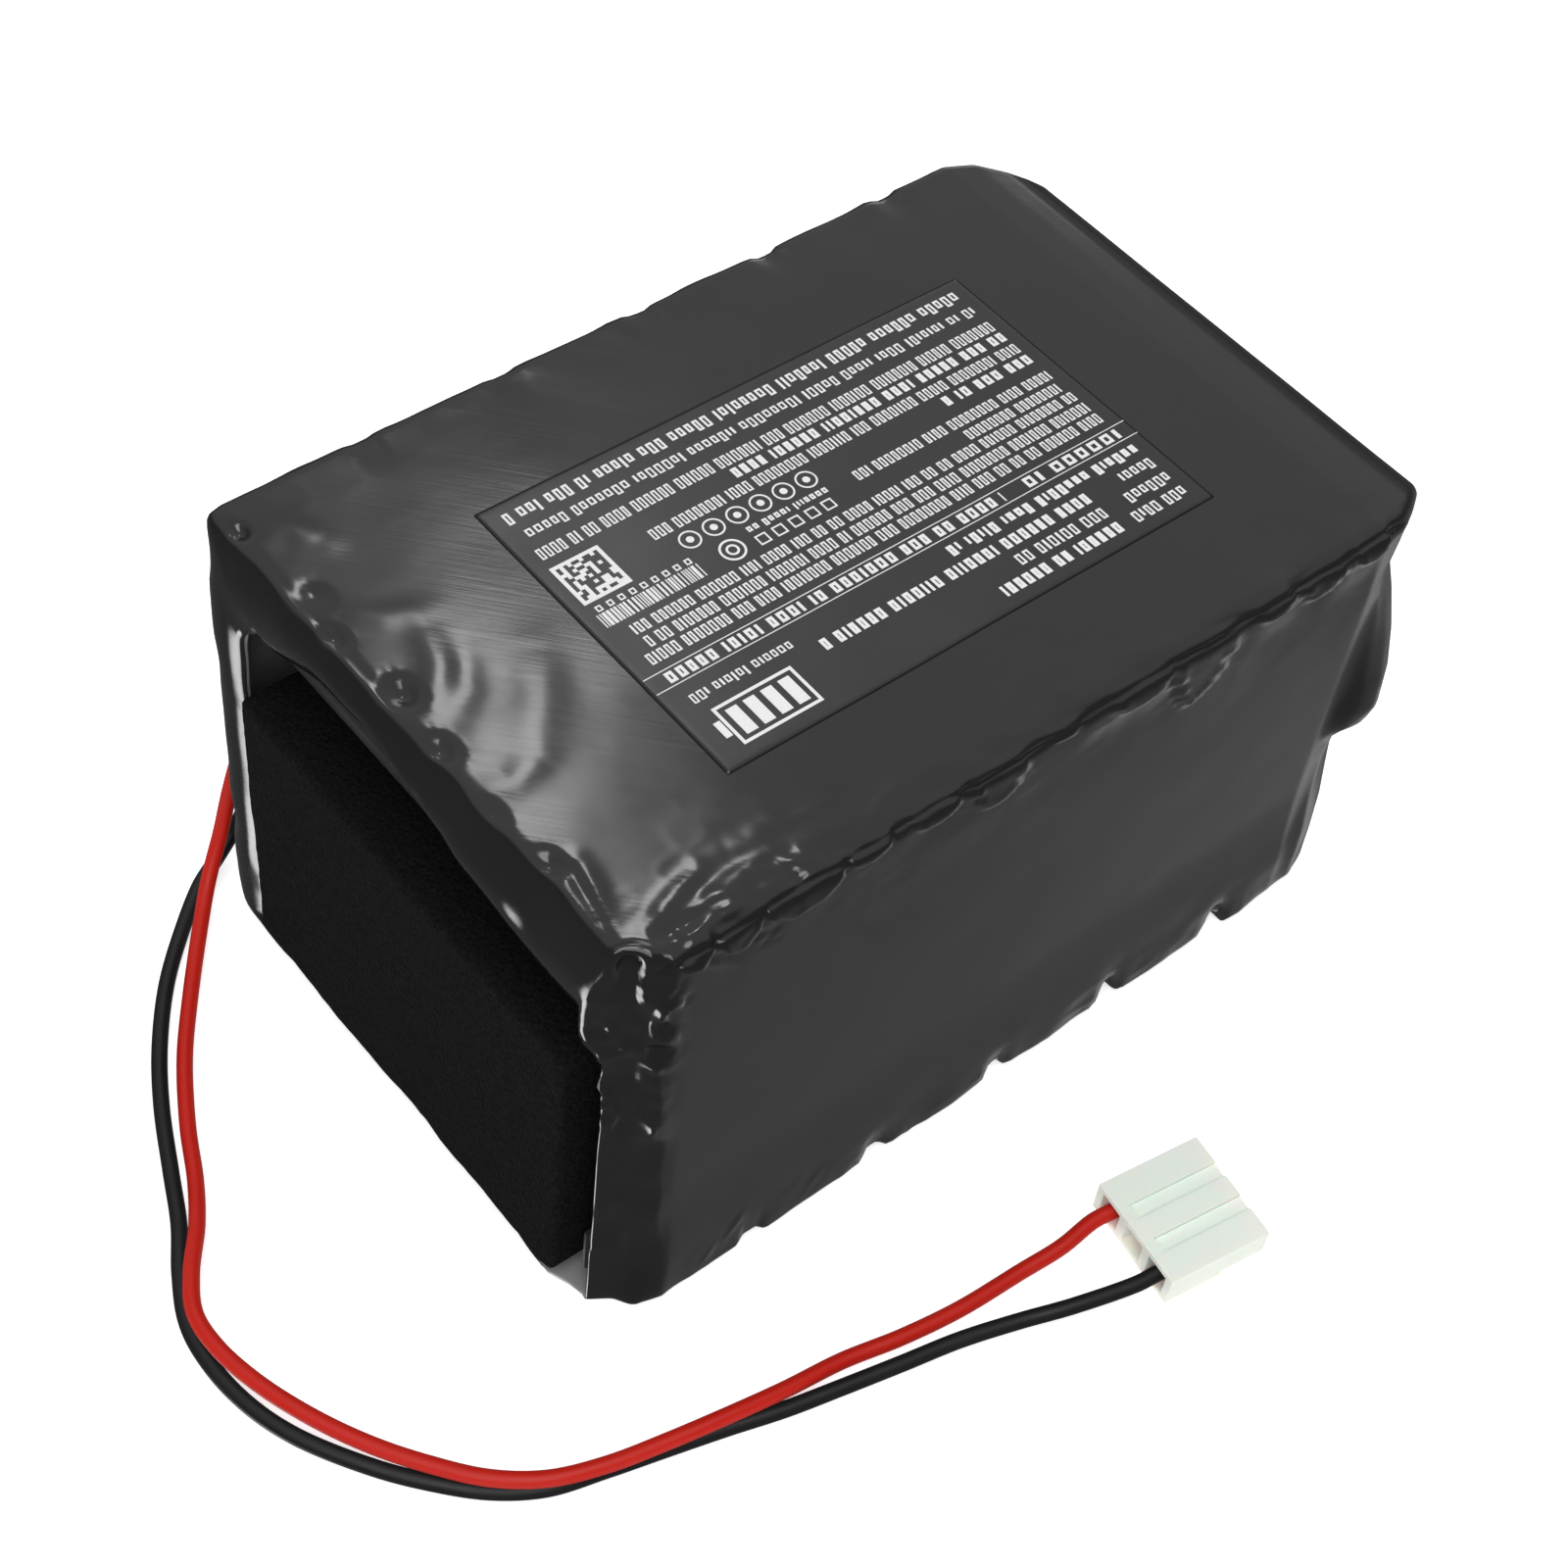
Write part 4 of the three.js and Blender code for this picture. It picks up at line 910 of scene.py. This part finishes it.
INK_FOOT = LABEL_LIFT + LABEL_THICKNESS - 0.02
INK_TOP = LABEL_LIFT + LABEL_THICKNESS + 0.035


# A letter's share of the letter pitch, and a narrow letter's.
LETTER = 0.68
NARROW_LETTER = 0.28


class Ink:
    """Raised print: flat shapes with a little thickness that follow the film."""

    def __init__(self):
        self.points = []
        self.faces = []

    def ring(self, outline, hole=None):
        """A closed outline in x and y, filled, or with a hole outline of as many points."""
        count = len(outline)
        start = len(self.points)
        loops = [outline] + ([hole] if hole is not None else [])
        for loop in loops:
            for z_over in (INK_TOP, INK_FOOT):
                self.points.extend((px, py, z_over) for px, py in loop)
        upper, lower = start, start + count
        for k in range(count):
            m = (k + 1) % count
            self.faces.append((lower + k, lower + m, upper + m, upper + k))
            if hole is not None:
                hole_upper, hole_lower = start + 2 * count, start + 3 * count
                self.faces.append((upper + k, upper + m, hole_upper + m, hole_upper + k))
                self.faces.append((hole_lower + k, hole_lower + m, lower + m, lower + k))
                self.faces.append((hole_upper + k, hole_upper + m, hole_lower + m, hole_lower + k))
        if hole is None:
            self.faces.append(tuple(range(upper, upper + count)))
            self.faces.append(tuple(range(lower + count - 1, lower - 1, -1)))

    def bar(self, x0, x1, y0, y1):
        """A filled bar, cut across every 2 mm or so to follow the film."""
        pieces = max(1, round((x1 - x0) / 2))
        edges = np.linspace(x0, x1, pieces + 1)
        outline = [(e, y0) for e in edges] + [(e, y1) for e in edges[::-1]]
        start = len(self.points)
        for z_over in (INK_TOP, INK_FOOT):
            self.points.extend((px, py, z_over) for px, py in outline)
        count = len(outline)
        for k in range(pieces):
            a, b, c, d = k, k + 1, count - 2 - k, count - 1 - k
            self.faces.append(tuple(start + v for v in (a, b, c, d)))
            self.faces.append(tuple(start + count + v for v in (d, c, b, a)))
        for k in range(count):
            m = (k + 1) % count
            self.faces.append((start + count + k, start + count + m, start + m, start + k))

    def box(self, x0, x1, y0, y1, line):
        """An empty box with a line of the given width."""

        def loop(a0, a1, b0, b1):
            across = np.linspace(a0, a1, max(2, round((x1 - x0) / 2) + 1))
            along = np.linspace(b0, b1, max(2, round((y1 - y0) / 2) + 1))
            lower = [(a, b0) for a in across[:-1]] + [(a1, b) for b in along[:-1]]
            return lower + [(a, b1) for a in across[:0:-1]] + [(a0, b) for b in along[:0:-1]]

        self.ring(loop(x0, x1, y0, y1), loop(x0 + line, x1 - line, y0 + line, y1 - line))

    def circle(self, cx, cy, radius, line=None, sides=28):
        turns = [2 * math.pi * k / sides for k in range(sides)]
        outline = [(cx + radius * math.cos(t), cy + radius * math.sin(t)) for t in turns]
        inner = radius - (line or 0)
        hole = [(cx + inner * math.cos(t), cy + inner * math.sin(t)) for t in turns]
        self.ring(outline, hole if line else None)

    def words(self, x_from, x_to, y0, y1, pitch, line, tall_share, rng):
        """A row of stand-ins for words: empty boxes in groups, from x_from down to x_to."""
        x = x_from
        while x - pitch > x_to:
            for _ in range(rng.randint(2, 8)):
                if x - pitch < x_to:
                    break
                narrow = rng.random() < 0.16
                w = pitch * (NARROW_LETTER if narrow else LETTER * rng.uniform(0.9, 1.08))
                tall = rng.random() < tall_share
                head = y0 if tall else y0 + (y1 - y0) * 0.26
                if narrow:
                    self.bar(x - w, x, head, y1)
                else:
                    self.box(x - w, x, head, y1, line)
                x -= w + pitch * (1 - LETTER)
            x -= pitch * 0.55


# Each row: start and end in x, front and back in y, letter pitch, line width, share of tall boxes.
PRINT_ROWS = (
    (97.8, 26.8, 60.4, 62.3, 1.28, 0.30, 0.35), (97.8, 26.8, 57.3, 58.9, 1.20, 0.24, 0.45),
    (97.8, 26.8, 53.8, 55.6, 0.98, 0.22, 1.0), (97.8, 52.6, 51.6, 53.2, 1.34, 0.40, 1.0),
    (97.8, 38.2, 49.0, 50.7, 0.98, 0.22, 1.0), (97.8, 82.4, 46.7, 48.3, 1.44, 0.42, 1.0),
    (97.8, 64.8, 43.1, 44.7, 0.98, 0.22, 1.0), (97.2, 80.8, 40.7, 42.3, 0.98, 0.22, 1.0),
    (97.8, 28.0, 38.5, 40.1, 0.98, 0.22, 1.0), (97.8, 28.4, 36.1, 37.8, 0.98, 0.22, 1.0),
    (97.8, 27.0, 33.8, 35.5, 0.98, 0.22, 1.0), (97.8, 80.0, 30.5, 32.1, 2.10, 0.42, 1.0),
    (77.2, 27.0, 30.5, 32.1, 1.50, 0.40, 1.0), (97.8, 66.5, 27.2, 28.9, 1.34, 0.40, 0.3),
    (97.8, 90.6, 24.4, 26.1, 1.24, 0.26, 0.3), (87.0, 44.4, 24.4, 26.1, 1.36, 0.40, 1.0),
    (97.8, 89.4, 21.5, 23.2, 1.24, 0.26, 0.3), (87.0, 71.6, 21.5, 23.2, 1.30, 0.26, 1.0),
    (97.8, 88.0, 18.7, 20.4, 1.24, 0.26, 0.3), (87.0, 66.8, 18.7, 20.4, 1.36, 0.42, 1.0),
    (61.8, 49.0, 43.5, 44.6, 0.92, 0.24, 0.3), (42.6, 27.2, 26.6, 28.0, 1.05, 0.2, 0.25),
)


def make_print():
    ink = Ink()
    rng = random.Random(11)
    for row in PRINT_ROWS:
        ink.words(*row, rng)
    for y in (30.05, 32.55):
        ink.bar(25.4, 99.9, y - 0.06, y + 0.06)
    ink.bar(78.4, 78.6, 30.5, 32.1)
    for k in range(6):
        ink.circle(43.2 + 3.52 * k, 46.8, 1.42, 0.24)
        ink.circle(43.2 + 3.52 * k, 46.8, 0.5, None, 16)
    ink.circle(46.3, 42.7, 1.7, 0.3)
    ink.circle(46.3, 42.7, 0.85, 0.3, 20)
    for k in range(5):
        ink.box(49.6 + 2.5 * k, 51.2 + 2.5 * k, 41.3, 42.9, 0.22)
    # A plate of plain squares, and a row of plain bars.
    cells = 13
    side = 6.9 / cells
    slack = 0.01
    for i in range(cells):
        for j in range(cells):
            on_rim = i in (0, cells - 1) or j in (0, cells - 1)
            if on_rim or rng.random() < 0.5:
                x0, x1 = 26.9 + i * side, 26.9 + (i + 1) * side - slack
                y0, y1 = 45.4 + j * side, 45.4 + (j + 1) * side - slack
                ink.ring([(x0, y0), (x1, y0), (x1, y1), (x0, y1)])
    x = 27.0
    while x < 41.4:
        w = rng.choice((0.16, 0.16, 0.3, 0.42))
        ink.bar(x, x + w, 41.2, 43.4)
        x += w + rng.choice((0.16, 0.22, 0.34))
    for k in range(9):
        ink.box(27.6 + 1.6 * k, 28.4 + 1.6 * k, 43.7, 44.6, 0.2)
    # A plain battery outline with its charge bars.
    ink.box(29.0, 40.4, 18.9, 25.0, 0.42)
    ink.bar(27.9, 28.8, 20.7, 23.2)
    for k in range(4):
        ink.bar(30.2 + 2.5 * k, 31.8 + 2.5 * k, 19.9, 24.0)
    points = np.array(ink.points)
    points[:, 2] += film_top(points[:, 0], points[:, 1])
    piece = mesh_piece("label_print", points, ink.faces, label_print, smooth=False)
    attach(piece, "root")


make_print()


# Foam block.
FOAM_LOW = (-3.0, 8.6, 3.5)
FOAM_HIGH = (8.0, 73.4, 49.5)
FOAM_SPACING = 0.75
FOAM_CORNER = 0.9


def make_foam():
    """A closed box of small faces, with rounded corners and a lumpy, open-pored skin."""
    low, high = np.array(FOAM_LOW), np.array(FOAM_HIGH)
    spacing, radius = FOAM_SPACING, FOAM_CORNER
    counts = np.maximum(2, np.round((high - low) / spacing).astype(int))
    points, faces, seen = [], [], {}

    def at(cell):
        if cell not in seen:
            seen[cell] = len(points)
            points.append(cell)
        return seen[cell]

    for axis in range(3):
        a, b = (axis + 1) % 3, (axis + 2) % 3
        for level, i, j in itertools.product((0, counts[axis]), range(counts[a]), range(counts[b])):
            quad = []
            for di, dj in ((0, 0), (1, 0), (1, 1), (0, 1)):
                cell = [0, 0, 0]
                cell[axis], cell[a], cell[b] = int(level), i + di, j + dj
                quad.append(at(tuple(cell)))
            faces.append(tuple(quad) if level else tuple(quad[::-1]))
    places = low + np.array(points, float) / counts * (high - low)
    core = np.clip(places, low + radius, high - radius)
    away = places - core
    far = np.linalg.norm(away, axis=1, keepdims=True)
    normals = away / np.maximum(far, 1e-9)
    places = core + normals * radius
    x, y, z = places.T
    h = 0.22 * noise(x, y, z, 13, 30) + 0.1 * noise(x, y, z, 3.0, 31) + 0.07 * noise(x, y, z, 1.2, 32)
    places = places + normals * (h[:, None] - 0.15)
    piece = mesh_piece("foam_block", places, faces, foam)
    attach(piece, "root")
    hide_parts("end_foam_block")


make_foam()


# Floor and light.
def make_floor():
    bpy.ops.mesh.primitive_plane_add(size=6, location=(0, 0, -0.0002))
    floor = bpy.context.object
    floor.name = "floor"
    s = Shader("floor", (0.9, 0.9, 0.9), 0.9, Specular_IOR_Level=0.0, Emission_Strength=0.62)
    s.bsdf.inputs["Emission Color"].default_value = (1, 1, 1, 1)
    floor.data.materials.append(s.material)
    floor.visible_glossy = False


make_floor()


def soft_box(name, place, aim, size, radiance):
    light = bpy.data.lights.new(name, "AREA")
    light.shape = "RECTANGLE"
    light.size, light.size_y = size
    light.energy = radiance * math.pi * size[0] * size[1]
    lamp = bpy.data.objects.new(name, light)
    lamp.location = place
    lamp.rotation_euler = (Vector(aim) - Vector(place)).to_track_quat("-Z", "Y").to_euler()
    bpy.context.scene.collection.objects.link(lamp)


NEAR_TOP = (-0.05, 0, 0.07)
MIDDLE = (0, 0, 0)
soft_box("key_light", (0.305, 0.482, 0.826), NEAR_TOP, (0.09, 0.16), 7.5)
soft_box("halo_light", (0.345, 0.54, 0.84), NEAR_TOP, (0.18, 0.2), 0.45)
soft_box("fill_light", (-0.7, -0.6, 1.0), MIDDLE, (0.9, 0.9), 3.0)
soft_box("top_light", (-0.2, -0.3, 1.3), MIDDLE, (0.5, 0.5), 5.0)

# What the film mirrors: direction, the two cosines between which the glow rises, and how bright it is.
GLOWS = (
    ((0.0, 0.0, 1.0), -3.0, -2.0, 0.09),  # all round
    ((0.28, 0.28, 0.92), 0.35, 0.85, 0.62),  # overhead
    ((0.66, -0.36, -0.66), 0.72, 1.0, 0.17),  # low at the front, for the front wall
    ((0.62, -0.12, -0.775), 0.965, 1.0, 0.35),  # the front wall's far half
    ((0.72, 0.65, 0.25), 0.979, 0.997, 1.5),  # the far corner of the top
    ((-0.60, 0.17, -0.78), 0.966, 0.988, 6.0),  # low at the open end, for the lip's curled edge
)


def make_studio():
    """A dim grey surround, brighter overhead, with soft glows where the film mirrors them."""
    world = bpy.data.worlds.new("studio")
    world.use_nodes = True
    tree = world.node_tree
    direction = tree.nodes.new("ShaderNodeTexCoord").outputs["Generated"]
    background = tree.nodes["Background"]
    background.inputs["Color"].default_value = (1, 1, 1, 1)
    total = None
    for towards, low, high, strength in GLOWS:
        dot = tree.nodes.new("ShaderNodeVectorMath")
        dot.operation = "DOT_PRODUCT"
        tree.links.new(direction, dot.inputs[0])
        dot.inputs[1].default_value = towards
        rise = tree.nodes.new("ShaderNodeMapRange")
        rise.interpolation_type = "SMOOTHSTEP"
        tree.links.new(dot.outputs["Value"], rise.inputs["Value"])
        rise.inputs["From Min"].default_value = low
        rise.inputs["From Max"].default_value = high
        rise.inputs["To Max"].default_value = strength
        if total is None:
            total = rise.outputs["Result"]
        else:
            joined = tree.nodes.new("ShaderNodeMath")
            tree.links.new(total, joined.inputs[0])
            tree.links.new(rise.outputs["Result"], joined.inputs[1])
            total = joined.outputs[0]
    tree.links.new(total, background.inputs["Strength"])
    bpy.context.scene.world = world


make_studio()
bpy.context.scene.view_settings.view_transform = "Standard"
